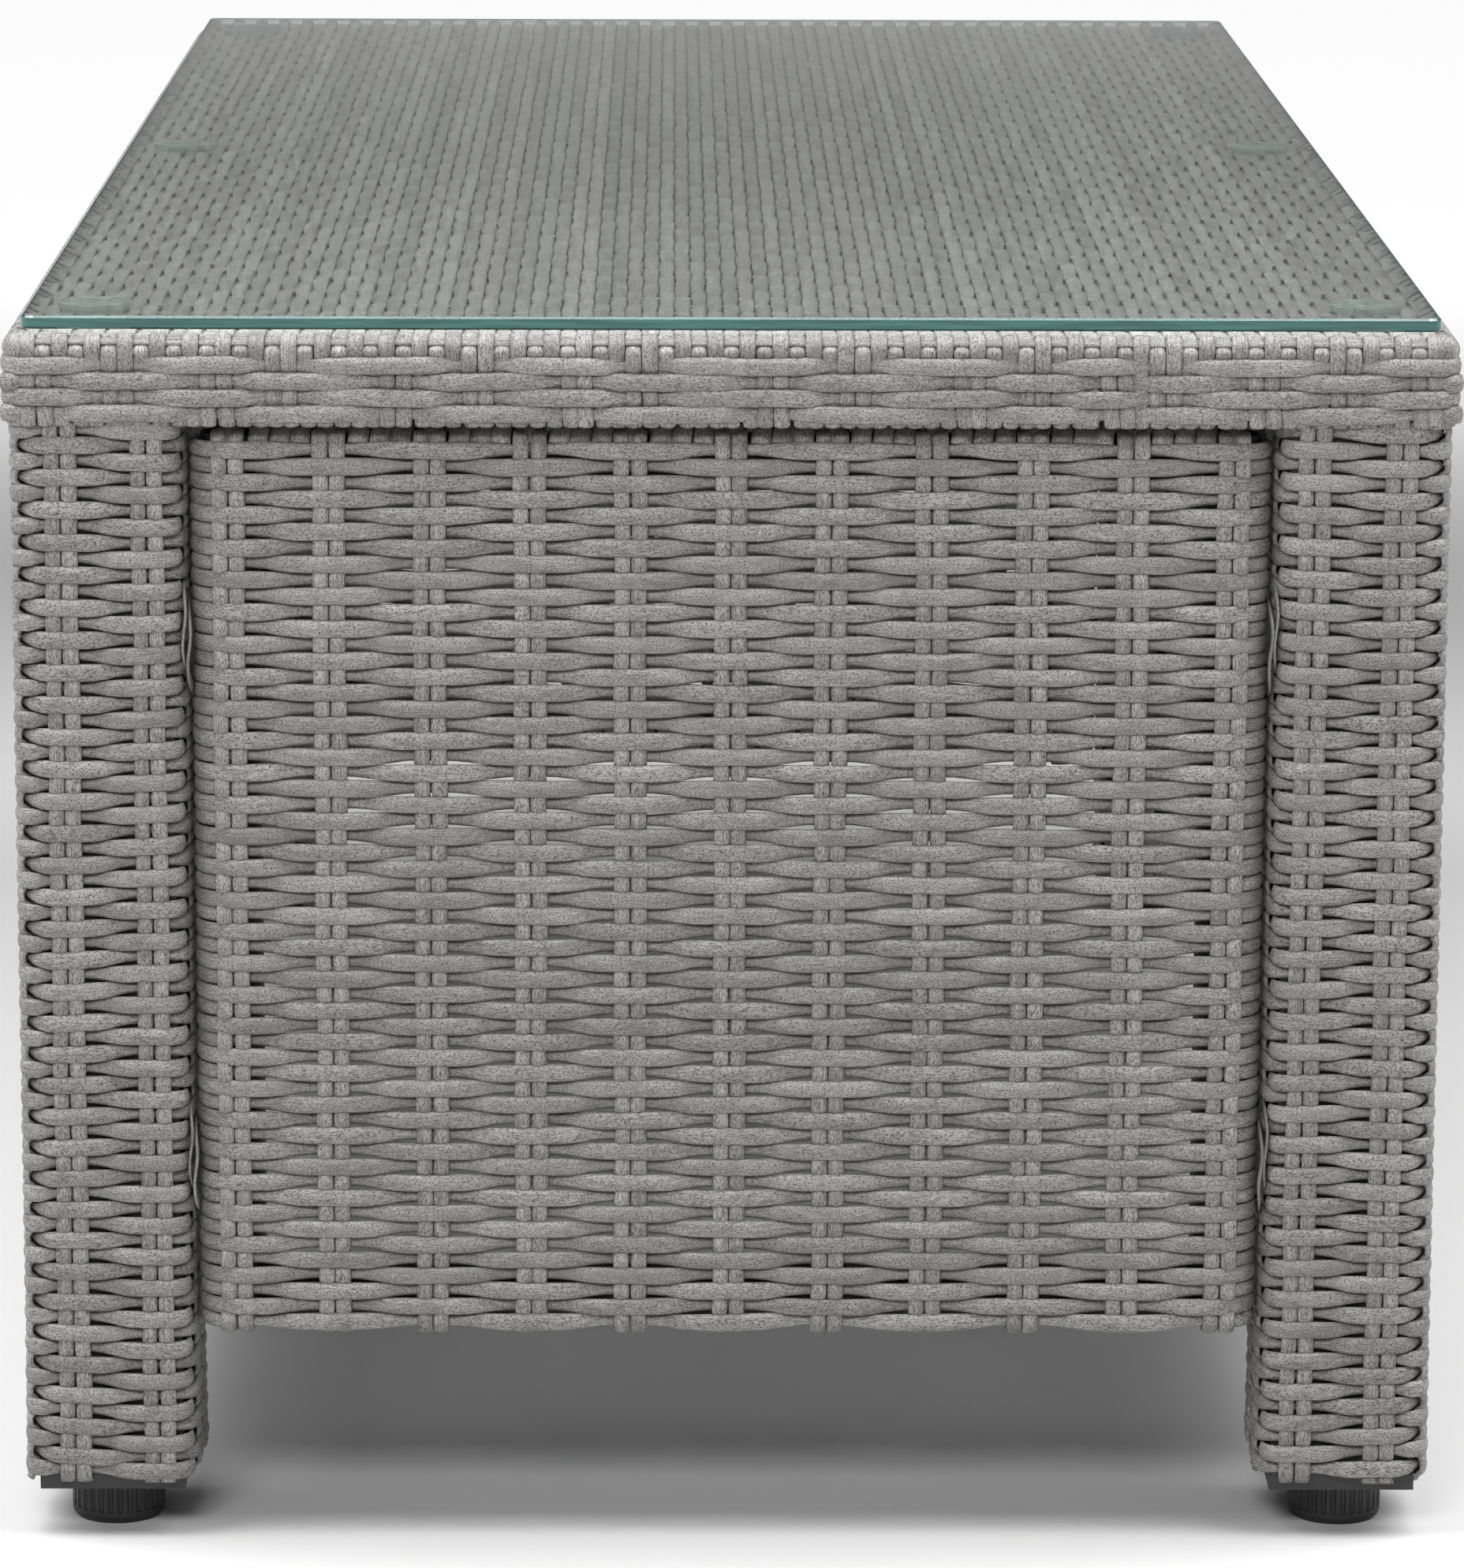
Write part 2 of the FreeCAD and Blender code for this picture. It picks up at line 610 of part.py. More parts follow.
def make_panel(name, direction, position, half_span, middle_stile, lugs):
    """A woven panel on a frame of round tubes, standing along X or Y at a distance from the centre."""
    title = name.title()
    offset = f"({half_span} - {STILE_FROM_LEG})"
    hands = ("left", "right") if direction == "X" else ("front", "back")
    stile_hole = "(tube_radius + fit_gap)"
    rail_hole = "(tube_radius + 2 * fit_gap)"
    voids = []
    for hand, where in ((hands[0], f"-{offset}"), (hands[1], offset)):
        x, y = across_or_along(direction, where, position)
        make_stile(f"{title}Stile{hand}", f"{name}_panel_stile_{hand}", x, y, STILE_LOW, STILE_TALL)
        voids.append(cylinder(f"{title}Hole{hand}", x, y, STILE_LOW, stile_hole, STILE_TALL))
    if middle_stile:
        x, y = across_or_along(direction, "0", position)
        label = f"{name}_panel_stile_middle"
        make_stile(f"{title}StileMiddle", label, x, y, SHORT_STILE_LOW, SHORT_STILE_TALL)
        tool = f"{title}HoleMiddle"
        voids.append(cylinder(tool, x, y, SHORT_STILE_LOW, stile_hole, SHORT_STILE_TALL))
    rail_half = f"({offset} - tube_radius)"
    hole_half = f"({rail_half} + hole_overlap)"
    for level, height in (("bottom", RAIL_LOW_Z), ("top", RAIL_HIGH_Z)):
        x, y = across_or_along(direction, f"-{rail_half}", position)
        label = f"{name}_panel_rail_{level}"
        make_level_rail(f"{title}Rail{level}", label, direction, x, y, height, f"2 * {rail_half}")
        x, y = across_or_along(direction, f"-{hole_half}", position)
        tool = f"{title}Hole{level}"
        voids.append(level_cylinder(tool, direction, x, y, height, rail_hole, f"2 * {hole_half}"))
    outward = "-1" if position.startswith("-") else "1"
    skin_reach = "(tube_radius + panel_skin)"
    back_face = f"({position} - {outward} * panel_weave / 2)"
    block_run = f"2 * ({offset} + {skin_reach})"
    block = panel_box(f"{title}Block", direction, "0", position, "panel_low", block_run, PANEL_DEEP, PANEL_TALL)
    skin = rounded_block(f"{title}Skin", block)
    pocket_deep = f"({PANEL_DEEP} - panel_weave)"
    pocket_run = f"2 * ({offset} - {skin_reach})"
    pocket_low = f"(panel_low + {PANEL_DEEP})"
    pocket_tall = f"({PANEL_TALL} - 2 * {PANEL_DEEP})"
    tool = f"{title}Back"
    voids.append(panel_box(tool, direction, "0", back_face, pocket_low, pocket_run, pocket_deep, pocket_tall))
    weave = skin
    for step, void in enumerate(voids + [lugs]):
        weave = cut(f"{title}Weave{step}", weave, void)
    keep(weave, f"{name}_panel_weave")


def make_panels(lugs):
    end_y = f"({HALF_LENGTH} - {TUBE_FROM_EDGE})"
    side_x = f"({HALF_WIDTH} - {TUBE_FROM_EDGE})"
    make_panel("front", "X", f"-{end_y}", LEG_INNER_X, False, lugs)
    make_panel("back", "X", end_y, LEG_INNER_X, False, lugs)
    make_panel("left", "Y", f"-{side_x}", LEG_INNER_Y, True, lugs)
    make_panel("right", "Y", side_x, LEG_INNER_Y, True, lugs)


# ---------------------------------------------------------------- build, check and write

make_glass()
make_pads()
make_top_weave()
make_rim_weave()
make_top_frame()
panel_lugs = make_lugs()
make_legs(panel_lugs)
make_panels(panel_lugs)
doc.recompute()

for item in doc.Objects:
    if "Invalid" in item.State or "Error" in item.State:
        raise RuntimeError(f"{item.Name} did not compute: {item.State}")

os.makedirs("parts", exist_ok=True)
for item in subparts:
    if item.Shape.isNull() or not item.Shape.isValid():
        raise RuntimeError(f"{item.Label} has no valid shape")
    item.Shape.exportStep(f"parts/{item.Label}.step")
    print(f"{item.Label}: {len(item.Shape.Solids)} solids, {item.Shape.Volume:.0f} mm3")
print(f"{len(subparts)} sub-parts")
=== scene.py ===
import json
import math

import bpy
import numpy as np
from mathutils import Euler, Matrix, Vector


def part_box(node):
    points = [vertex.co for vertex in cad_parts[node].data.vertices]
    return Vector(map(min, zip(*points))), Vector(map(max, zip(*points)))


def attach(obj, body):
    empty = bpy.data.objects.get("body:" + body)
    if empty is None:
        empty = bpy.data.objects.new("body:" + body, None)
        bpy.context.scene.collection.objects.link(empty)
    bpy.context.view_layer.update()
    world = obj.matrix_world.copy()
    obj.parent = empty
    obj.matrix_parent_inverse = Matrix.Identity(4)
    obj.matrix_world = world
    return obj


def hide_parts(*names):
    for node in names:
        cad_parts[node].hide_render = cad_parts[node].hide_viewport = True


# The looks of the wicker coffee table: every woven skin is made strand by strand round the CAD frame.

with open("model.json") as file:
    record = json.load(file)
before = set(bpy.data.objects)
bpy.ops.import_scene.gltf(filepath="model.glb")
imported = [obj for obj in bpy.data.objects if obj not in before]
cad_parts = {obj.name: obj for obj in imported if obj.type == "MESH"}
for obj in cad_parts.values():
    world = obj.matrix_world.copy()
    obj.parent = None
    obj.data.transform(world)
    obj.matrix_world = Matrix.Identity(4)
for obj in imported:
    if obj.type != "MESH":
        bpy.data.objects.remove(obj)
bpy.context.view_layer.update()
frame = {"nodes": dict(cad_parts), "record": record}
rng = np.random.default_rng(20)
UP = np.array([0.0, 0.0, 1.0])
WAVES = (1.0, 0.57, 0.31)    # the waves that a wander is summed from, by length and size
WAVE_VARIES = (0.8, 1.25)    # how much each one's length varies
WAVE_SUM = 0.7               # brings the sum back to the size that was asked for


def wander(x, size, wavelength):
    """A smooth random wave along x: hand weaving is never quite straight."""
    total = np.zeros_like(np.asarray(x, float))
    for stretch in WAVES:
        turn = 2 * math.pi / (wavelength * stretch * rng.uniform(*WAVE_VARIES))
        total += stretch * np.sin(turn * x + rng.uniform(0, 2 * math.pi))
    return size * WAVE_SUM * total


def row_width(over, narrow, wide):
    """A row strand is wide where it lies on top and pinched where it dives under the stakes."""
    return narrow + (wide - narrow) * np.sqrt(np.clip((1 + over) / 2, 0, 1))


def shaped(wave, push):
    """A cosine wave with flatter crests, as a stiff strand lies over what it crosses."""
    return np.sin(math.pi / 2 * np.clip(push * wave, -1, 1))


# ---------------------------------------------------------------- strands

# rounded section, in strand widths across and thicknesses outward
SECTION = np.array([(-0.5, 0.0), (-0.44, 0.29), (-0.27, 0.49), (0.0, 0.58), (0.27, 0.49),
                    (0.44, 0.29), (0.5, 0.0), (0.39, -0.34), (0.0, -0.42), (-0.39, -0.34)])
SIDES = len(SECTION)
INNER_THICKNESS = 0.42    # how much of a strand's thickness lies inward of its path
# the quads that close a strand's end, by points of the section
CAP = np.array([(0, 1, 8, 9), (1, 2, 7, 8), (2, 3, 6, 7), (3, 4, 5, 6)])


class Bundle:
    """Strands gathered into one mesh piece."""

    def __init__(self, name):
        self.name = name
        self.points = []
        self.quads = []
        self.coords = []
        self.count = 0

    def add(self, path, normals, width, thick, closed=False):
        """Sweeps the section along the path. Width and thick are numbers, or one value per point."""
        path = np.asarray(path, float)
        steps = len(path)
        if closed:
            tangents = np.roll(path, -1, 0) - np.roll(path, 1, 0)
        else:
            tangents = np.gradient(path, axis=0)
        tangents /= np.linalg.norm(tangents, axis=1, keepdims=True)
        normals = normals - (normals * tangents).sum(1, keepdims=True) * tangents
        normals /= np.linalg.norm(normals, axis=1, keepdims=True)
        across = np.cross(tangents, normals)
        width = np.broadcast_to(width, steps)
        thick = np.broadcast_to(thick, steps)
        side = across[:, None] * (SECTION[:, 0] * width[:, None])[..., None]
        lift = normals[:, None] * (SECTION[:, 1] * thick[:, None])[..., None]
        ring = path[:, None] + side + lift
        self.points.append(ring.reshape(-1, 3))
        self.quads.append(self.sides_of(steps, closed))
        self.coords.append(self.coordinates(path, ring))
        self.count += steps * SIDES

    def sides_of(self, steps, closed):
        """The quads between each ring of points and the next, and those that close open ends."""
        here = np.arange(steps if closed else steps - 1)
        following = (here + 1) % steps
        around = np.arange(SIDES)
        beside = (around + 1) % SIDES
        low = here[:, None] * SIDES
        high = following[:, None] * SIDES
        quads = np.stack([low + around, high + around, high + beside, low + beside], -1).reshape(-1, 4)
        if not closed:
            end = CAP[:, ::-1] + (steps - 1) * SIDES
            quads = np.concatenate([quads, CAP, end])
        return quads + self.count

    def coordinates(self, path, ring):
        """Length along the strand, length round its section, and a number of its own."""
        along = np.concatenate([[0], np.cumsum(np.linalg.norm(np.diff(path, axis=0), axis=1))])
        round_steps = np.linalg.norm(np.roll(ring[0], -1, 0) - ring[0], axis=1)
        around = np.concatenate([[0], np.cumsum(round_steps)[:-1]])
        out = np.empty((len(path), SIDES, 3))
        out[..., 0] = along[:, None] + rng.uniform(0, 1)
        out[..., 1] = around
        out[..., 2] = rng.uniform(0, 1)
        return out.reshape(-1, 3)

    def piece(self, body, nodes, material):
        """Makes the mesh object, rides it on the body and hides the CAD nodes that it stands for."""
        points = np.concatenate(self.points).astype(np.float32)
        quads = np.concatenate(self.quads).astype(np.int32)
        mesh = bpy.data.meshes.new(self.name)
        mesh.vertices.add(len(points))
        mesh.vertices.foreach_set("co", points.ravel())
        mesh.loops.add(quads.size)
        mesh.loops.foreach_set("vertex_index", quads.ravel())
        mesh.polygons.add(len(quads))
        mesh.polygons.foreach_set("loop_start", np.arange(0, quads.size, 4, dtype=np.int32))
        mesh.update(calc_edges=True)
        mesh.polygons.foreach_set("use_smooth", np.ones(len(quads), bool))
        store = mesh.attributes.new("strand", "FLOAT_VECTOR", "POINT")
        store.data.foreach_set("vector", np.concatenate(self.coords).astype(np.float32).ravel())
        mesh.materials.append(material)
        item = bpy.data.objects.new(self.name, mesh)
        bpy.context.scene.collection.objects.link(item)
        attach(item, body)
        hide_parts(*nodes)


# ---------------------------------------------------------------- materials

def grey(value):
    """A grey colour with the given value."""
    return (value, value, value, 1)


class Nodes:
    """Short ways to make and join shader nodes."""

    def __init__(self, owner, shader):
        owner.use_nodes = True
        self.tree = owner.node_tree
        self.shader = self.tree.nodes[shader]

    def node(self, kind, **settings):
        """A new node with its settings."""
        item = self.tree.nodes.new(kind)
        for key, value in settings.items():
            setattr(item, key, value)
        return item

    def feed(self, item, values):
        """Sets a node's inputs, by name or number, to values, or joins them to other nodes' outputs."""
        for key, value in values.items():
            if isinstance(value, bpy.types.NodeSocket):
                self.tree.links.new(value, item.inputs[key])
            else:
                item.inputs[key].default_value = value

    def part(self, vector, index):
        """One of the vector's three parts."""
        item = self.node("ShaderNodeSeparateXYZ")
        self.feed(item, {0: vector})
        return item.outputs[index]

    def math(self, operation, *values):
        """The result of one sum."""
        item = self.node("ShaderNodeMath", operation=operation)
        self.feed(item, dict(enumerate(values)))
        return item.outputs[0]

    def place(self):
        """Where each point is on its own object, in metres."""
        return self.node("ShaderNodeTexCoord").outputs["Object"]

    def noise(self, vector, scale, detail=2.0, roughness=0.5):
        """Smooth noise about a half; scale is how many bumps it has to each unit of the vector."""
        item = self.node("ShaderNodeTexNoise")
        self.feed(item, {"Vector": vector, "Scale": scale, "Detail": detail, "Roughness": roughness})
        return item.outputs["Fac"]

    def stretched_noise(self, vector, scales, detail=2.0, roughness=0.5):
        """Noise with its own number of bumps in each of the vector's three directions."""
        item = self.node("ShaderNodeVectorMath", operation="MULTIPLY")
        self.feed(item, {0: vector, 1: scales})
        return self.noise(item.outputs[0], 1.0, detail, roughness)

    def ramp(self, value, low, high, from_value=0.0, to_value=1.0):
        """Goes smoothly from from_value, where value is low, to to_value, where it is high."""
        item = self.node("ShaderNodeMapRange", interpolation_type="SMOOTHSTEP")
        self.feed(item, {"Value": value, "From Min": low, "From Max": high,
                         "To Min": from_value, "To Max": to_value})
        return item.outputs["Result"]

    def mix(self, factor, first, second, blend="MIX"):
        """Two colours mixed by the factor. The Mix node's colours are its inputs 6 and 7 and output 2."""
        item = self.node("ShaderNodeMix", data_type="RGBA", blend_type=blend)
        self.feed(item, {0: factor, 6: first, 7: second})
        return item.outputs[2]

    def mix_shaders(self, factor, first, second):
        """Two shaders mixed by the factor."""
        item = self.node("ShaderNodeMixShader")
        self.feed(item, {0: factor, 1: first, 2: second})
        return item.outputs[0]

    def see_through(self, colour):
        """A shader that only tints what is behind it."""
        item = self.node("ShaderNodeBsdfTransparent")
        self.feed(item, {"Color": colour})
        return item.outputs[0]

    def let_lamps_through(self, shader, colour):
        """Rays from lamps pass the clear shader with its tint, so that what is under it is lit."""
        shadow_ray = self.node("ShaderNodeLightPath").outputs["Is Shadow Ray"]
        return self.mix_shaders(shadow_ray, shader, self.see_through(colour))

    def bump(self, height, strength, distance):
        """Raises the surface by the height, up to the distance in metres."""
        item = self.node("ShaderNodeBump")
        self.feed(item, {"Height": height, "Strength": strength, "Distance": distance})
        self.feed(self.shader, {"Normal": item.outputs["Normal"]})

    def show(self, shader):
        """Makes the surface show this shader."""
        self.feed(self.tree.nodes["Material Output"], {"Surface": shader})


def new_material(name):
    material = bpy.data.materials.new(name)
    return material, Nodes(material, "Principled BSDF")


def wicker_material():
    """Flat resin strand: mottled warm grey with fine dark flecks that run along it."""
    material, kit = new_material("wicker")
    place = kit.node("ShaderNodeAttribute", attribute_name="strand").outputs["Vector"]
    own = kit.part(place, 2)
    tint = kit.node("ShaderNodeTexWhiteNoise", noise_dimensions="1D")
    kit.feed(tint, {"W": own})

    # each pattern is finer across the strand than along it, and differs from strand to strand
    flecks = kit.stretched_noise(place, (1150.0, 3300.0, 900.0), 3.5, 0.68)
    streaks = kit.stretched_noise(place, (190.0, 1500.0, 500.0), 2.0, 0.55)
    clouds = kit.stretched_noise(place, (45.0, 160.0, 300.0))

    warm_grey, cool_grey = (0.300, 0.293, 0.286, 1), (0.288, 0.288, 0.279, 1)
    colour = kit.mix(kit.ramp(own, 0.0, 1.0), warm_grey, cool_grey)
    shades = (
        (kit.ramp(tint.outputs["Value"], 0.0, 1.0), (0.84, 0.83, 0.82, 1), (1.08, 1.08, 1.07, 1)),
        (kit.ramp(clouds, 0.3, 0.7), (0.84, 0.83, 0.83, 1), grey(1.1)),
        (kit.ramp(streaks, 0.34, 0.62), (0.76, 0.75, 0.75, 1), grey(1.06)),
    )
    for amount, darker, lighter in shades:
        colour = kit.mix(1.0, colour, kit.mix(amount, darker, lighter), "MULTIPLY")
    fleck_colour = (0.048, 0.045, 0.043, 1)
    colour = kit.mix(kit.ramp(flecks, 0.53, 0.39), colour, fleck_colour)
    roughness = kit.ramp(streaks, 0.3, 0.7, 0.52, 0.42)
    kit.feed(kit.shader, {"Base Color": colour, "Roughness": roughness, "Specular IOR Level": 0.35})
    kit.bump(kit.math("ADD", flecks, streaks), 0.35, 0.00025)
    return material


def steel_material():
    """Black powder coat: satin, with a fine pebble."""
    material, kit = new_material("powder_coat")
    place = kit.place()
    patch = kit.noise(place, 25.0)
    colour = kit.mix(patch, (0.016, 0.016, 0.017, 1), (0.030, 0.030, 0.031, 1))
    kit.feed(kit.shader, {"Base Color": colour, "Roughness": kit.ramp(patch, 0.3, 0.7, 0.42, 0.55)})
    kit.bump(kit.noise(place, 1500.0), 0.25, 0.0002)
    return material


def plastic_material(name, base, worn, rough):
    """Black moulded plastic with a faint grain, and scuffs that are paler and rougher."""
    material, kit = new_material(name)
    place = kit.place()
    scuff = kit.noise(place, 60.0, 3.0, 0.7)
    roughness = kit.ramp(scuff, 0.3, 0.75, rough - 0.06, rough + 0.14)
    kit.feed(kit.shader, {"Base Color": kit.mix(kit.ramp(scuff, 0.5, 0.75), base, worn),
                          "Roughness": roughness})
    kit.bump(kit.noise(place, 900.0), 0.15, 0.0002)
    return material


def zinc_material():
    """Zinc plate: dull silver, a little blotchy."""
    material, kit = new_material("zinc")
    place = kit.place()
    patch = kit.noise(place, 180.0, 3.0, 0.6)
    colour = kit.mix(patch, (0.50, 0.50, 0.47, 1), (0.68, 0.68, 0.66, 1))
    roughness = kit.ramp(patch, 0.3, 0.7, 0.28, 0.42)
    kit.feed(kit.shader, {"Base Color": colour, "Roughness": roughness, "Metallic": 1.0})
    kit.bump(kit.noise(place, 1200.0), 0.1, 0.0001)
    return material


def glass_edge(kit):
    """The ground edge, where the green of the glass's thickness shows."""
    place = kit.place()
    edge = kit.node("ShaderNodeBsdfPrincipled")
    wave = kit.ramp(kit.stretched_noise(place, (30.0, 30.0, 500.0)), 0.3, 0.7)
    grind = kit.stretched_noise(place, (900.0, 900.0, 900.0))
    deep_green, pale_green = (0.010, 0.072, 0.066, 1), (0.026, 0.125, 0.115, 1)
    kit.feed(edge, {"Base Color": kit.mix(wave, deep_green, pale_green),
                    "Roughness": kit.ramp(grind, 0.3, 0.7, 0.12, 0.26),
                    "Specular IOR Level": 0.6, "Coat Weight": 0.4})
    return edge.outputs[0]


def upright_faces(kit):
    """One on upright faces, zero on level ones."""
    facing_up = kit.part(kit.node("ShaderNodeNewGeometry").outputs["Normal"], 2)
    return kit.ramp(kit.math("ABSOLUTE", facing_up), 0.9, 0.6)


def glass_material():
    """Clear glass faces and green ground edges."""
    material, kit = new_material("glass")
    kit.feed(kit.shader, {"Base Color": (0.955, 0.975, 0.965, 1), "Transmission Weight": 1.0,
                          "Roughness": 0.0, "IOR": 1.5})
    faces = kit.let_lamps_through(kit.shader.outputs[0], (0.93, 0.96, 0.945, 1))
    kit.show(kit.mix_shaders(upright_faces(kit), faces, glass_edge(kit)))
    return material


def vinyl_material():
    """Clear soft vinyl: mostly see-through, a little milky, with moulding ripples."""
    material, kit = new_material("clear_vinyl")
    ripple = kit.stretched_noise(kit.place(), (60.0, 420.0, 60.0), 1.5)
    kit.feed(kit.shader, {"Base Color": (0.72, 0.77, 0.76, 1), "Transmission Weight": 0.95,
                          "IOR": 1.45, "Roughness": kit.ramp(ripple, 0.3, 0.7, 0.18, 0.34)})
    kit.bump(ripple, 0.3, 0.0006)
    milky = kit.let_lamps_through(kit.shader.outputs[0], (0.85, 0.88, 0.87, 1))
    clear = kit.see_through((0.90, 0.93, 0.92, 1))
    kit.show(kit.mix_shaders(0.55, milky, clear))
    return material


wicker = wicker_material()
BLACK_CAP, WORN_CAP = (0.014, 0.014, 0.015, 1), (0.0238, 0.0238, 0.0255, 1)
SLOT_MATERIALS = {
    "glass": glass_material(),
    "clear_vinyl": vinyl_material(),
    "wicker": wicker,
    "frame_steel": steel_material(),
    "cap_plastic": plastic_material("cap_plastic", BLACK_CAP, WORN_CAP, 0.42),
    "foot_plastic": plastic_material("foot_plastic", grey(0.010), grey(0.017), 0.5),
    "zinc_steel": zinc_material(),
}
for entry in frame["record"]["subparts"]:
    solid = frame["nodes"][entry["node"]]
    solid.data.materials.clear()
    solid.data.materials.append(SLOT_MATERIALS[entry["material_slot"]])


# ---------------------------------------------------------------- woven panels

PITCH = 0.0062          # from one row to the next
THICK = 0.0026
LAYER = 0.00155         # from the middle of the weave to each of its two layers
ROW_WIDTH = 0.0069      # a row strand where it lies on top
ROW_NARROW = 0.0043     # and where it dives under the stakes
FIRST_ROW_DOWN = 0.0083    # from the panel's top to its first row
LAST_ROW_UP = 0.005        # and from its bottom to its last
ROW_PUSH = 1.25            # how flat the strands' crests are
STAKE_PUSH = 1.3
ROW_WIDTH_WANDER = (0.03, 0.08)     # size, as a part of the width, and wavelength
ROW_WANDER = (0.00022, 0.09)

# a row strand where it turns round the tube at each end of a panel
TURN_STEPS = np.radians(np.arange(18, 226, 18))
TURN_WIDTH = 0.0063
TURN_DROP = 0.0018      # how far it drops on its way to the back
TURN_DROP_VARIES = (0.3, 1.2)
TURN_SETTLES = 1.6      # how soon it is back at the middle of the weave

STAKE_WIDTH = 0.0061
STAKE_THICK = 0.0022
PAIR_GAP = 0.0064       # between the two stakes of a pair
PAIR_SPACING = 0.0376
STAKE_WANDER = 0.0003

# a stake's bend over the upper level tube and under the lower one, and its tail behind them: how far
# out, how high over the first row or the panel's bottom, and which way it faces
BEND_STEPS = np.radians(np.arange(20, 96, 25))
BEND_RADIUS = 0.0058
BEND_DEPTH_LOW = 0.0048
TAIL_OUT = np.array([0.001, -0.006, -0.011])
TAIL_OVER = np.array([0.0050, 0.0030, -0.004])
TAIL_UNDER = np.array([0.0008, 0.0035, 0.011])
TAIL_FACES_UP = np.array([1.0, 0.9, 0.8])
TAIL_FACES_OUT = np.array([-0.6, -0.3, 0.1])

BETWEEN_PAIRS = 3       # bindings on a level tube from one stake pair to the next
BINDING_WIDTH = 0.0080
BINDING_STEP = 18       # degrees
BINDING_END = 236
BINDING_WIDTH_VARIES = (0.97, 1.05)
BINDING_LEAN_VARIES = (0.6, 1.4)
# for a binding on the upper tube, and on the lower one: the angle where it starts, how far it stands
# off the tube, how far it leans sideways in half a turn, and whether it runs up or down
BINDINGS = {"top": (36, 0.0019, 0.0050, 1), "bottom": (50, 0.0011, -0.002, -1)}

TIE_LEVELS = (0.150, 0.353)    # the lugs' heights
TIE_LENGTH = 0.033
TIE_WIDTH = 0.0050
TIE_THICK = 0.0013
TIE_CLEAR = 0.0024      # from the panel's end to the middle of the gap beside the leg
TIE_APART = 0.0009
TIE_STAGGER = 0.004
TIE_BEHIND = 0.0008     # how far it lies behind the weave's middle, and how deep its ends tuck in
TIE_TUCK = 0.011
TIE_POINTS = 17


def tube_of(node):
    """Middle and radius of an upright or level tube, from its box."""
    low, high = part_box(node)
    size = high - low
    return (low + high) / 2, min(size) / 2


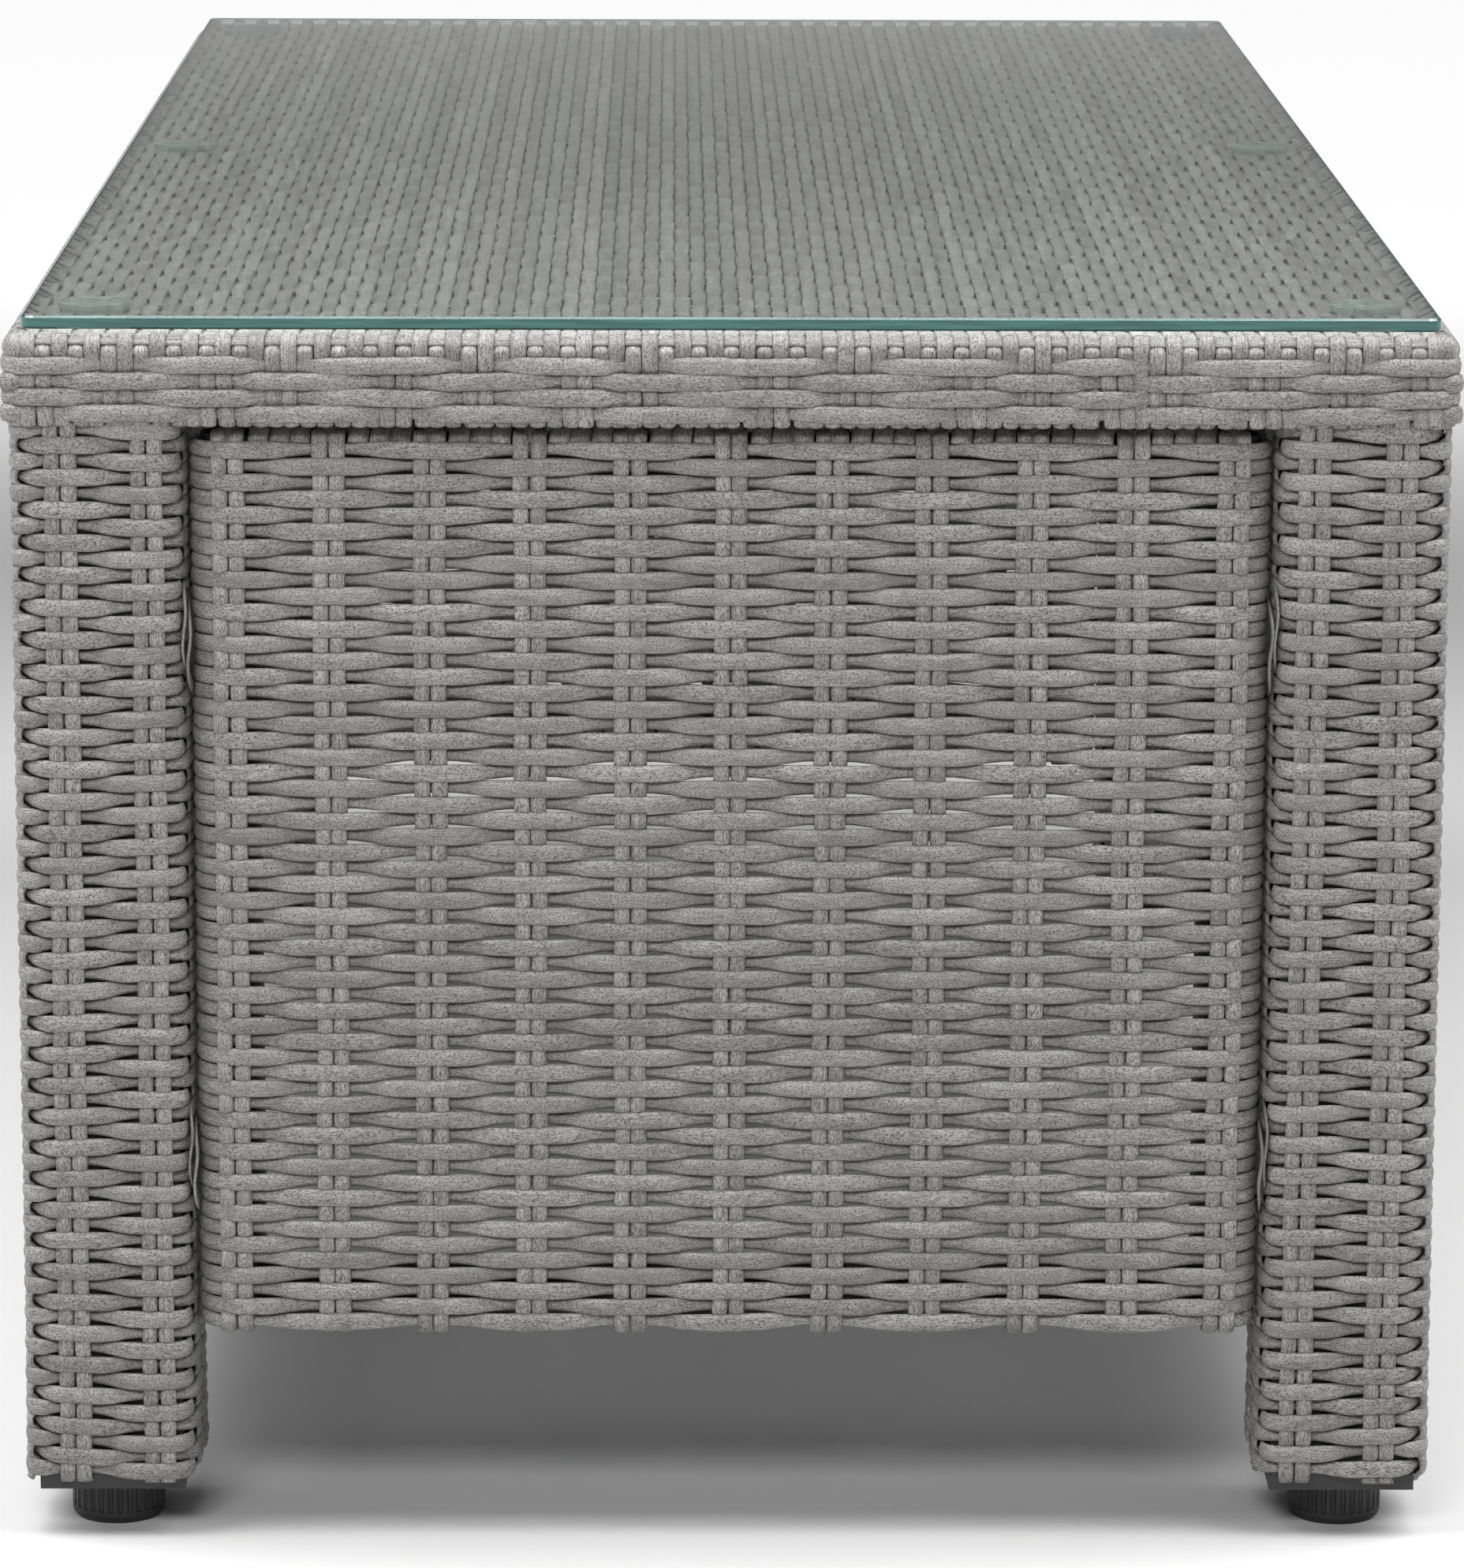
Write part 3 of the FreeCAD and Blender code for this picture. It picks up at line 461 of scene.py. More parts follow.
class Panel:
    """One woven panel: where its weave lies, and strands placed by s along, z up and n outward."""

    def __init__(self, name, along, stiles):
        self.name = name
        self.along = np.array(along, float)
        self.outward = np.cross(self.along, UP)
        first, radius = tube_of(f"{name}_panel_stile_{stiles[0]}")
        last, _ = tube_of(f"{name}_panel_stile_{stiles[1]}")
        self.middle = np.array((first + last) / 2) * (1, 1, 0)
        self.half = abs(np.dot(np.array(last - first), self.along)) / 2
        self.radius = radius
        low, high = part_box(f"{name}_panel_weave")
        self.bottom, self.top = low.z, high.z
        self.surface = radius + LAYER + INNER_THICKNESS * THICK
        self.pairs = 2 * int(self.half / PAIR_SPACING) + 1
        self.spacing = 2 * self.half / (self.pairs - 1)
        self.first_row = self.top - FIRST_ROW_DOWN
        self.last_row = self.bottom + LAST_ROW_UP
        self.rows = int(round((self.first_row - self.last_row) / PITCH)) + 1
        self.pitch = (self.first_row - self.last_row) / (self.rows - 1)

    def place(self, s, n, z):
        """Points by distance along, out and up."""
        return self.middle + self.direct(s, n, z)

    def direct(self, s, n, z):
        """Directions by their parts along, out and up."""
        s, n, z = np.broadcast_arrays(s, n, z)
        return s[:, None] * self.along + n[:, None] * self.outward + z[:, None] * UP

    def crossing(self, s):
        """Plus one where even rows lie over the stakes, minus one where they lie under."""
        return shaped(np.cos(math.pi * (s + self.half) / self.spacing), ROW_PUSH)

    def row(self, bundle, number, steps):
        """A row strand: across the face and round both stiles."""
        parity = 1 if number % 2 == 0 else -1
        z = self.first_row - number * self.pitch
        s = np.linspace(-self.half, self.half, (self.pairs - 1) * steps + 1)
        over = parity * self.crossing(s)
        n = self.surface + LAYER * over
        width = row_width(over, ROW_NARROW, ROW_WIDTH) * (1 + wander(s, *ROW_WIDTH_WANDER))
        level = z + wander(s, *ROW_WANDER)
        side_s, side_n = np.sin(TURN_STEPS), np.cos(TURN_STEPS)
        reach = self.surface + LAYER * over[0] * np.exp(-TURN_STEPS * TURN_SETTLES)
        turn_s = self.half + reach * side_s
        turn_n = reach * side_n
        drop = TURN_DROP * (TURN_STEPS / math.pi) ** 1.5
        turn_z = level[0] - drop * rng.uniform(*TURN_DROP_VARIES)
        all_s = np.concatenate([-turn_s[::-1], s, turn_s])
        all_n = np.concatenate([turn_n[::-1], n, turn_n])
        all_z = np.concatenate([turn_z[::-1], level, turn_z + level[-1] - level[0]])
        flat = np.zeros_like(s)
        normals = self.direct(np.concatenate([-side_s[::-1], flat, side_s]),
                              np.concatenate([side_n[::-1], flat + 1, side_n]), 0.0)
        turn_width = np.full_like(turn_s, TURN_WIDTH)
        all_width = np.concatenate([turn_width, width, turn_width])
        bundle.add(self.place(all_s, all_n, all_z), normals, all_width, THICK)

    def bend(self, n_end):
        """How far out a stake is at each step of its bend, from n_end where the bend starts."""
        settling = (n_end - self.surface) * np.exp(-2 * BEND_STEPS)
        return self.surface - BEND_RADIUS + BEND_RADIUS * np.cos(BEND_STEPS) + settling

    def stake(self, bundle, pair, side, steps):
        """An upright strand, up the face and over both level tubes."""
        parity = 1 if pair % 2 == 0 else -1
        z = np.linspace(self.last_row, self.first_row, (self.rows - 1) * steps + 1)
        wave = shaped(np.cos(math.pi * (self.first_row - z) / self.pitch), STAKE_PUSH)
        n = self.surface - LAYER * parity * wave
        s = -self.half + pair * self.spacing + side * PAIR_GAP / 2
        s = s + wander(z, STAKE_WANDER, 0.12)
        up_z = self.first_row + BEND_RADIUS * np.sin(BEND_STEPS)
        down_z = self.last_row - BEND_DEPTH_LOW * np.sin(BEND_STEPS)
        all_n = np.concatenate([TAIL_OUT[::-1], self.bend(n[0])[::-1], n, self.bend(n[-1]), TAIL_OUT])
        all_z = np.concatenate([(self.bottom + TAIL_UNDER)[::-1], down_z[::-1], z, up_z,
                                self.first_row + TAIL_OVER])
        end = len(BEND_STEPS) + len(TAIL_OUT)
        all_s = np.concatenate([np.full(end, s[0]), s, np.full(end, s[-1])])
        faces_up = np.concatenate([TAIL_FACES_UP, np.sin(BEND_STEPS)[::-1]])
        faces_out = np.concatenate([TAIL_FACES_OUT, np.cos(BEND_STEPS)[::-1]])
        normal_z = np.concatenate([-faces_up, np.zeros(len(z)), faces_up[::-1]])
        normal_n = np.concatenate([faces_out, np.ones(len(z)), faces_out[::-1]])
        normals = self.direct(0.0, normal_n, normal_z)
        bundle.add(self.place(all_s, all_n, all_z), normals, STAKE_WIDTH, STAKE_THICK)

    def binding(self, bundle, level, s, end):
        """A short strand wrapped round a level tube."""
        start, stand_off, lean, sign = BINDINGS[end]
        turn = np.radians(np.arange(start, BINDING_END, BINDING_STEP))
        reach = self.radius + THICK / 2 + stand_off
        drift = lean * (turn - turn[0]) / math.pi * rng.uniform(*BINDING_LEAN_VARIES)
        n = reach * np.cos(turn)
        z = level + sign * reach * np.sin(turn)
        place = self.place(s + drift + rng.normal(0, STAKE_WANDER), n, z)
        normals = self.direct(0.0, np.cos(turn), sign * np.sin(turn))
        bundle.add(place, normals, BINDING_WIDTH * rng.uniform(*BINDING_WIDTH_VARIES), THICK)

    def bind_tubes(self, bundle):
        """Wraps both level tubes, between the stake pairs and behind the middle of each."""
        step = (self.spacing - PAIR_GAP) / (BETWEEN_PAIRS + 1)
        for end in ("bottom", "top"):
            middle, _ = tube_of(f"{self.name}_panel_rail_{end}")
            for pair in range(self.pairs):
                pair_s = -self.half + pair * self.spacing
                self.binding(bundle, middle.z, pair_s, end)
                between = BETWEEN_PAIRS if pair < self.pairs - 1 else 0
                for number in range(1, between + 1):
                    self.binding(bundle, middle.z, pair_s + PAIR_GAP / 2 + number * step, end)

    def tie(self, bundle, level, end, beside):
        """A lashing strand, seen edge-on, that comes out of the gap beside the leg, runs down over
        the lug and tucks in again."""
        along = np.linspace(-1, 1, TIE_POINTS)
        gap = self.half + self.surface + TIE_CLEAR + beside * TIE_APART
        s = end * gap + 2 * STAKE_WANDER * np.sin(4 * along)
        n = self.surface - TIE_BEHIND - TIE_TUCK * along ** 6
        z = level + 0.5 * TIE_LENGTH * along
        normals = self.direct(end, 0.0, np.zeros_like(s))
        bundle.add(self.place(s, n, z), normals, TIE_WIDTH, TIE_THICK)

    def tie_to_legs(self, bundle):
        """Two lashing strands over each lug, at both ends of the panel."""
        for level in TIE_LEVELS:
            for end in (-1, 1):
                for beside in (-1, 1):
                    self.tie(bundle, level + TIE_STAGGER * beside, end, beside)

    def build(self, row_steps, stake_steps):
        """Weaves the panel, with so many points from one crossing to the next."""
        rows = Bundle(f"{self.name}_panel_rows")
        for number in range(self.rows):
            self.row(rows, number, row_steps)
        rows.piece("table", [f"{self.name}_panel_weave"], wicker)
        stakes = Bundle(f"{self.name}_panel_stakes")
        for pair in range(self.pairs):
            for side in (-1, 1):
                self.stake(stakes, pair, side, stake_steps)
        stakes.piece("table", [f"{self.name}_panel_weave"], wicker)
        bindings = Bundle(f"{self.name}_panel_bindings")
        self.bind_tubes(bindings)
        self.tie_to_legs(bindings)
        bindings.piece("table", [f"{self.name}_panel_weave"], wicker)


# name, direction along it, the stiles at its ends, and points between crossings for rows and stakes
PANELS = [
    ("front", (1, 0, 0), ("left", "right"), 8, 4),
    ("back", (-1, 0, 0), ("left", "right"), 8, 4),
    ("right", (0, 1, 0), ("front", "back"), 6, 3),
    ("left", (0, -1, 0), ("front", "back"), 6, 3),
]
for name, along, stiles, row_steps, stake_steps in PANELS:
    Panel(name, along, stiles).build(row_steps, stake_steps)


# ---------------------------------------------------------------- closed loops round legs and rim

class Loop:
    """A rounded rectangle seen from above, by distance round it from the middle of its front side."""

    def __init__(self, centre, half_x, half_y, corner):
        self.centre = np.array(centre, float)
        self.corner = corner
        flat_x, flat_y = half_x - corner, half_y - corner
        self.bend = math.pi / 2 * corner
        sides = (2 * flat_y, 2 * flat_x, 2 * flat_y)
        self.legs = [flat_x, self.bend]
        for side in sides:
            self.legs += [side, self.bend]
        self.legs.append(flat_x)
        self.marks = np.concatenate([[0], np.cumsum(self.legs)])
        self.length = self.marks[-1]
        self.corners = [(flat_x, -flat_y), (flat_x, flat_y), (-flat_x, flat_y), (-flat_x, -flat_y)]

    def angle(self, s):
        """Direction that the loop faces at s, as an angle from straight forward."""
        s = np.mod(s, self.length)
        turn = np.zeros_like(s)
        for number in range(4):
            start = self.marks[1 + 2 * number]
            turn += math.pi / 2 * np.clip((s - start) / self.bend, 0, 1)
        return turn

    def at(self, s, out):
        """Place and facing at s, moved outward."""
        s = np.mod(np.asarray(s, float), self.length)
        turn = self.angle(s)
        facing = np.stack([np.sin(turn), -np.cos(turn), np.zeros_like(turn)], -1)
        ahead = np.stack([np.cos(turn), np.sin(turn), np.zeros_like(turn)], -1)
        hub = np.array([(x, y, 0) for x, y in self.corners])
        start = np.array([0, self.corners[0][1], 0])
        last = len(self.legs) - 1
        leg = np.clip(np.searchsorted(self.marks, s, side="right") - 1, 0, last)
        base = np.empty((len(s), 3))
        for number in range(last + 1):
            chosen = leg == number
            if number % 2 == 1:
                base[chosen] = hub[(number - 1) // 2]
            else:
                travel = s[chosen] - self.marks[number]
                origin = start if number == 0 else hub[number // 2 - 1]
                base[chosen] = origin + travel[:, None] * ahead[chosen]
        reach = self.corner + np.broadcast_to(out, s.shape)
        return self.centre + base + reach[:, None] * facing, facing


LEG_MIDDLE = 0.0304     # from the leg's axis to the middle of its weave
LEG_CORNER = 0.0078
LEG_LAYER = 0.0016
LEG_THICK = 0.0026
LEG_PITCH = 0.0061
LEG_WIDTH = 0.0069      # a row strand where it lies on top
LEG_NARROW = 0.0039     # and where it dives under the stakes
LEG_PUSH = 1.3
LEG_STEPS = 72          # points round one row
LEG_STAKE_STEPS = 4     # points from one row to the next on a stake
TOP_ROW_DOWN = 0.0028   # from the sleeve's top to its first row
ROWS_SHORT = 0.0060     # how much shorter than the sleeve the rows' stack is
ROWS_FIT = 0.0055       # and what is taken off it when the rows are counted
ROW_LEAN = 0.0007       # how much rows lean, and how much more at the foot
FOOT_LEAN = 0.0016
FOOT_HEIGHT = 0.05
RIPPLE = 0.0004         # a shorter wave on top of the lean
DRIFT = 9.0             # how far round the lean moves, in radians for each metre up
DRIFT_RIPPLE = 2.1      # how much faster the shorter wave moves back
LEVEL_OFF = 0.012       # how near the sleeve's ends the rows are level again
LEG_ROW_WANDER = (0.00012, 1.5)
LEG_STAKE_WIDTH_VARIES = (0.95, 1.03)
STAKE_PAST_FOOT = 0.002    # how far the stakes run past the sleeve's ends
STAKE_PAST_TOP = 0.001
FLARE = 0.0006          # how far the weave spreads at the foot
FLARE_HEIGHT = 0.03
# the front left leg's stake pairs, by distance round it from the middle of its front
LEG_PAIRS = np.array([-0.0351, -0.0136, 0.0188, 0.0468, 0.0758, 0.1048, 0.1338, 0.1638])
CORNERS = [("front", "left"), ("front", "right"), ("back", "left"), ("back", "right")]
# where each leg's rows start, in side lengths from the middle of its front: on a hidden face
LEG_SEAMS = {"front_left": 1.5, "front_right": 2.5, "back_left": 0.5, "back_right": 3.5}


class Leg:
    """The closed weave round a leg: rows round all four faces, eight pairs of stakes."""

    def __init__(self, end, hand):
        self.label = f"{end}_{hand}"
        self.low, self.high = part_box(f"leg_weave_{self.label}")
        middle = (self.low + self.high) / 2
        self.loop = Loop((middle.x, middle.y, 0), LEG_MIDDLE, LEG_MIDDLE, LEG_CORNER)
        places = LEG_PAIRS if hand == "left" else -LEG_PAIRS
        if end == "back":
            places = self.loop.length / 2 - places
        self.places = np.sort(np.mod(places, self.loop.length))
        self.turns = 2 * math.pi / self.loop.length
        self.swing = rng.uniform(0, 2 * math.pi)
        self.rows = int((self.high.z - self.low.z - ROWS_FIT) / LEG_PITCH) + 1
        self.pitch = (self.high.z - self.low.z - ROWS_SHORT) / (self.rows - 1)
        self.top_row = self.high.z - TOP_ROW_DOWN

    def slant(self, s, z):
        """Rows lean and wave a little, more towards the foot, and lie level at both ends."""
        foot = np.exp(-(z - self.low.z) / FOOT_HEIGHT)
        drift = self.swing + DRIFT * (z - self.low.z)
        fade = np.clip((z - self.low.z) / LEVEL_OFF, 0, 1)
        fade = fade * np.clip((self.high.z - z) / LEVEL_OFF, 0.2, 1)
        lean = (ROW_LEAN + FOOT_LEAN * foot) * np.sin(self.turns * s + drift)
        ripple = RIPPLE * np.sin(3 * self.turns * s - DRIFT_RIPPLE * drift)
        return fade * (lean + ripple)

    def flare(self, z):
        """How far the weave has spread at height z."""
        return FLARE * np.exp(-(z - self.low.z) / FLARE_HEIGHT)

    def pair_phase(self, s):
        """Counts the stake pairs that have been passed on the way round, from the first."""
        length = self.loop.length
        knots = np.concatenate([[self.places[-1] - length], self.places, [self.places[0] + length]])
        return np.interp(np.mod(s, length), knots, np.arange(-1, len(self.places) + 1))

    def weave_rows(self):
        """Closed rows, from the top down."""
        bundle = Bundle(f"leg_rows_{self.label}")
        length = self.loop.length
        s = LEG_SEAMS[self.label] * length / 4 + np.arange(0, length, length / LEG_STEPS)
        phase = self.pair_phase(s)
        for number in range(self.rows):
            parity = 1 if number % 2 == 0 else -1
            z = self.top_row - number * self.pitch
            over = parity * shaped(np.cos(math.pi * phase), LEG_PUSH)
            path, facing = self.loop.at(s, LEG_LAYER * over + self.flare(z))
            path[:, 2] = z + self.slant(s, z) + wander(np.sin(self.turns * s), *LEG_ROW_WANDER)
            bundle.add(path, facing, row_width(over, LEG_NARROW, LEG_WIDTH), LEG_THICK, closed=True)
        bundle.piece("table", [f"leg_weave_{self.label}"], wicker)

    def weave_stakes(self):
        """Pairs of upright stakes, from the foot to the top."""
        bundle = Bundle(f"leg_stakes_{self.label}")
        z = np.linspace(self.low.z - STAKE_PAST_FOOT, self.high.z + STAKE_PAST_TOP,
                        self.rows * LEG_STAKE_STEPS)
        for number, centre in enumerate(self.places):
            parity = 1 if number % 2 == 0 else -1
            for side in (-1, 1):
                s = centre + side * PAIR_GAP / 2 + wander(z, STAKE_WANDER, 0.1)
                phase = (self.top_row + self.slant(s, z) - z) / self.pitch
                over = -parity * shaped(np.cos(math.pi * phase), LEG_PUSH)
                path, facing = self.loop.at(s, LEG_LAYER * over + self.flare(z))
                path[:, 2] = z
                width = STAKE_WIDTH * rng.uniform(*LEG_STAKE_WIDTH_VARIES)
                bundle.add(path, facing, width, STAKE_THICK)
        bundle.piece("table", [f"leg_weave_{self.label}"], wicker)


for end, hand in CORNERS:
    leg = Leg(end, hand)
    leg.weave_rows()
    leg.weave_stakes()


# ---------------------------------------------------------------- tabletop and rim

deck_low, deck_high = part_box("tabletop_weave")
rim_low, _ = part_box("rim_weave_front")
HALF_X, HALF_Y = deck_high.x, deck_high.y
DECK_MIDDLE = deck_low.z + 0.0019
DECK_LAYER = 0.0014
DECK_PUSH = 1.25
DECK_PARTS = 4           # mesh pieces that the deck's strips are shared out between
DECK_STEPS = 5           # points from one stake to the next on a strip

COLUMNS = 87             # strips that run the table's length
COLUMN_PITCH = 0.00612
COLUMN_WIDTH = 0.0062
COLUMN_THICK = 0.0018
COLUMN_PINCH = 0.26      # how much narrower a strip is where it dives
COLUMN_EDGE = 0.0033     # least distance from a strip's middle to the table's long face
COLUMN_WANDER = (0.0002, 0.13)
STRIP_LEAN = 0.0009      # how far a strip drifts sideways down the face, and how much that varies
STRIP_LEAN_VARIES = 0.0005
LEAN_STARTS = 0.004      # over the first rim row
LEAN_LENGTH = 0.026

STAKES = 55
STAKE_STEP = 2 * HALF_Y / STAKES
DECK_STAKE_WIDTH = 0.0062
DECK_STAKE_THICK = 0.0012
DECK_STAKE_END = 0.006   # from the table's long face
DECK_STAKE_POINTS = 40
DECK_STAKE_WANDER = (0.0003, 0.2)

FACE_DEPTH = 0.0019      # from the table's outer face in to the middle of the weave
RIM_PITCH = 0.0061
RIM_ROWS = 4
RIM_LAST = rim_low.z + 0.0041
RIM_FIRST = RIM_LAST + (RIM_ROWS - 1) * RIM_PITCH
RIM_THICK = 0.0024
RIM_LAYER = 0.0011
RIM_WIDTH = 0.0068       # a row where it lies on top
RIM_NARROW = 0.0044      # and where it dives under a strip
RIM_CORNER = 0.0065
RIM_STEP = 0.0034        # between points along a row
RIM_WANDER = (0.0003, 0.11)
NEARLY_STRAIGHT = 0.99   # how squarely a row faces out of a side to count as on it
CORNER_BULGE = (0.0002, 0.0014)    # how far out the odd and the even rows stand at the corners
DIP_STARTS = 0.9         # strips from a pair's middle where a row starts to come out again
DIP_LENGTH = 2.2
UNDER_HEIGHT = 0.003     # strips are thicker lower than this over the rim's bottom
UNDER_THICK = 0.0021
FACE_STEPS = 4           # points from one rim row to the next on a strip
UNDER_SHIFT = 0.001      # how far out a strip stays, just under the rim, after showing in front
UNDER_SHIFT_DEPTH = 0.003

SIDE_STRIPS = 175
SIDE_WANDER = 0.0002
TUCK_DEPTH = [0.0150, 0.0115]    # the inner end of a long side's strip: depth in from the face
TUCK_RISE = 0.0012               # and how much it rises on its way to the bar

# the first strip of each pair that shows over rows 1 and 3 of the rim, and over rows 2 and 4
ODD_PAIRS = (5, 15, 27, 37, 50, 61, 69, 80)
EVEN_PAIRS = (0, 11, 22, 33, 45, 57, 66, 75, 85)

# The strips' way over the table's edge: depth in from the face, height over the frame's top, and the
# angle that they face, from level. Every other strip goes over the bar that lies along the edge.
OVER_BAR = np.array([(0.0095, 0.0031, 88), (0.0072, 0.0044, 82), (0.0051, 0.0047, 66),
                     (0.0034, 0.0037, 50), (0.0020, 0.0022, 32), (0.0013, 0.0006, 14),
                     (0.0013, -0.0008, 4), (0.0019, -0.0023, 6)])
UNDER_BAR = np.array([(0.0095, 0.0015, 90), (0.0075, 0.0011, 90), (0.0056, 0.0009, 75),
                      (0.0039, 0.0004, 55), (0.0026, -0.0001, 40), (0.0014, -0.0007, 22),
                      (0.0011, -0.0014, 2), (0.0018, -0.0024, 0)])
# The same below the last rim row, with height over the rim's bottom.
UNDER_RIM = np.array([(0.0026, 0.0026, 0), (0.0024, 0.0013, -14), (0.0023, 0.0004, -40),
                      (0.0030, -0.0001, -72), (0.0052, 0.0002, -90), (0.0150, 0.0012, -90),
                      (0.0280, 0.0014, -90)])
# The bar's two strands: depth in from the face, height over the frame's top, and facing.
BAR_STRANDS = ((0.0058, 0.0028, math.radians(75)), (0.0037, 0.0019, math.radians(42)))
BAR_WIDTH = 0.0026
BAR_THICK = 0.0014
BAR_WANDER = (0.0002, 0.09)
CORNER_ROUND = 0.0075
CORNER_STRIPS = np.radians((16, 45, 74))    # where they lie round a corner
CORNER_STRIP_WIDTH = 0.0052


def edge_profile(over_bar, in_front):
    """A strip over the bar or under it, down the face and under the rim. in_front says, for each
    rim row, whether the strip shows in front of it."""
    top = OVER_BAR if over_bar else UNDER_BAR
    depth, height, facing = (list(values) for values in top.T)
    if in_front[0]:
        depth[-1], facing[-1] = FACE_DEPTH - RIM_LAYER, 0.0
    z = [deck_low.z + value for value in height]
    for step in range((RIM_ROWS - 1) * FACE_STEPS + 1):
        row = step / FACE_STEPS
        near = int(round(row))
        blend = 0.5 + 0.5 * math.cos(math.pi * min(1.0, abs(row - near) * 2))
        lift = 2 * blend * in_front[near] - 1
        depth.append(FACE_DEPTH - RIM_LAYER * lift)
        z.append(RIM_FIRST - row * RIM_PITCH)
        facing.append(0.0)
    for inward, height, angle in UNDER_RIM:
        depth.append(inward - UNDER_SHIFT * in_front[-1] * (inward < UNDER_SHIFT_DEPTH))
        z.append(rim_low.z + height)
        facing.append(angle)
    facing = np.radians(facing)
    return np.array(depth), np.array(z), np.cos(facing), np.sin(facing)


def shows_in_front(number, odd_pairs, even_pairs):
    """Which of the four rim rows this strip crosses in front."""
    if number in odd_pairs or number - 1 in odd_pairs:
        return (1, 0, 1, 0)
    if number in even_pairs or number - 1 in even_pairs:
        return (0, 1, 0, 1)
    return (0, 0, 0, 0)


def spread_pairs(count):
    """Pairs along a long side, ten to twelve strips apart, and the pairs half way between them."""
    odd = [6]
    while odd[-1] < count - 12:
        odd.append(odd[-1] + int(rng.integers(10, 13)))
    even = [0] + [(first + second) // 2 for first, second in zip(odd, odd[1:])]
    return tuple(odd), tuple(even)


SIDE_PAIRS = spread_pairs(SIDE_STRIPS)


def lean_down(z):
    """How much of its sideways drift a strip has made on its way down the face and under."""
    fall = np.clip((RIM_FIRST + LEAN_STARTS - z) / LEAN_LENGTH, 0, 1)
    return fall ** 2


def strip_thickness(z):
    """Strips are a little thicker where they turn under the rim."""
    return np.where(z < rim_low.z + UNDER_HEIGHT, UNDER_THICK, COLUMN_THICK)


def strip_width(z, over):
    """Strips are full width on the deck's crests and the face, and pinched where they dive."""
    on_deck = np.clip((z - deck_low.z) / 0.001, 0, 1)
    return COLUMN_WIDTH * (1 - on_deck * COLUMN_PINCH * (1 - over) / 2)


def weave_deck():
    """Strips that run the table's length, over and under the cross stakes, and down both ends."""
    parts = [Bundle(f"deck_strips_{number}") for number in range(DECK_PARTS)]
    reach = (STAKES - 1) // 2
    inner = np.linspace(-reach, reach, 2 * reach * DECK_STEPS + 1)
    y = inner * STAKE_STEP
    for number in range(COLUMNS):
        over_bar = number % 2 == 0
        over = (-1 if over_bar else 1) * shaped(np.cos(math.pi * (inner - reach)), DECK_PUSH)
        in_front = shows_in_front(number, ODD_PAIRS, EVEN_PAIRS)
        depth, edge_z, face_n, face_z = edge_profile(over_bar, in_front)
        all_y = np.concatenate([(-HALF_Y + depth)[::-1], y, HALF_Y - depth])
        all_z = np.concatenate([edge_z[::-1], DECK_MIDDLE + DECK_LAYER * over, edge_z])
        normal_y = np.concatenate([-face_n[::-1], np.zeros_like(y), face_n])
        normal_z = np.concatenate([face_z[::-1], np.ones_like(y), face_z])
        x = (number - (COLUMNS - 1) / 2) * COLUMN_PITCH + wander(all_y, *COLUMN_WANDER)
        near_lean = rng.normal(STRIP_LEAN, STRIP_LEAN_VARIES)
        far_lean = rng.normal(-STRIP_LEAN, STRIP_LEAN_VARIES)
        x = x + np.where(all_y < 0, near_lean, far_lean) * lean_down(all_z)
        x = np.clip(x, COLUMN_EDGE - HALF_X, HALF_X - COLUMN_EDGE)
        path = np.stack([x, all_y, all_z], -1)
        normals = np.stack([np.zeros_like(x), normal_y, normal_z], -1)
        all_over = np.concatenate([np.ones_like(edge_z), over, np.ones_like(edge_z)])
        part = parts[number * DECK_PARTS // COLUMNS]
        part.add(path, normals, strip_width(all_z, all_over), strip_thickness(all_z))
    for part in parts:
        part.piece("table", ["tabletop_weave", "rim_weave_front", "rim_weave_back"], wicker)


def weave_deck_stakes():
    """Straight stakes across the table, which the strips go over and under."""
    bundle = Bundle("deck_stakes")
    for number in range(STAKES):
        y = (number - (STAKES - 1) / 2) * STAKE_STEP
        x = np.linspace(-HALF_X + DECK_STAKE_END, HALF_X - DECK_STAKE_END, DECK_STAKE_POINTS)
        path = np.stack([x, y + wander(x, *DECK_STAKE_WANDER), np.full_like(x, DECK_MIDDLE)], -1)
        bundle.add(path, np.broadcast_to(UP, path.shape), DECK_STAKE_WIDTH, DECK_STAKE_THICK)
    bundle.piece("table", ["tabletop_weave"], wicker)


def weave_long_edges():
    """Short strips over the bar or under it on each long side, down its face and under."""
    tuck_z = DECK_MIDDLE - DECK_LAYER
    for side, sign in (("left", -1), ("right", 1)):
        bundle = Bundle(f"rim_strips_{side}")
        for number in range(SIDE_STRIPS):
            y = (number - (SIDE_STRIPS - 1) / 2) * COLUMN_PITCH
            over_bar = number % 2 == 0
            depth, z, face_n, face_z = edge_profile(over_bar, shows_in_front(number, *SIDE_PAIRS))
            depth = np.concatenate([TUCK_DEPTH, depth])
            z = np.concatenate([[tuck_z, tuck_z + TUCK_RISE * over_bar], z])
            face_n = np.concatenate([[0.0, 0.0], face_n])
            face_z = np.concatenate([[1.0, 1.0], face_z])
            x = sign * (HALF_X - depth)
            line = y + rng.normal(0, SIDE_WANDER) + rng.normal(STRIP_LEAN, STRIP_LEAN_VARIES) * lean_down(z)
            path = np.stack([x, line, z], -1)
            normals = np.stack([sign * face_n, np.zeros_like(x), face_z], -1)
            bundle.add(path, normals, COLUMN_WIDTH, strip_thickness(z))
        bundle.piece("table", [f"rim_weave_{side}"], wicker)


def distance_to_pair(number, pairs):
    """How many strips away the nearest pair's middle is."""
    middles = np.array(pairs) + 0.5
    return np.min(np.abs(number[:, None] - middles), axis=1)


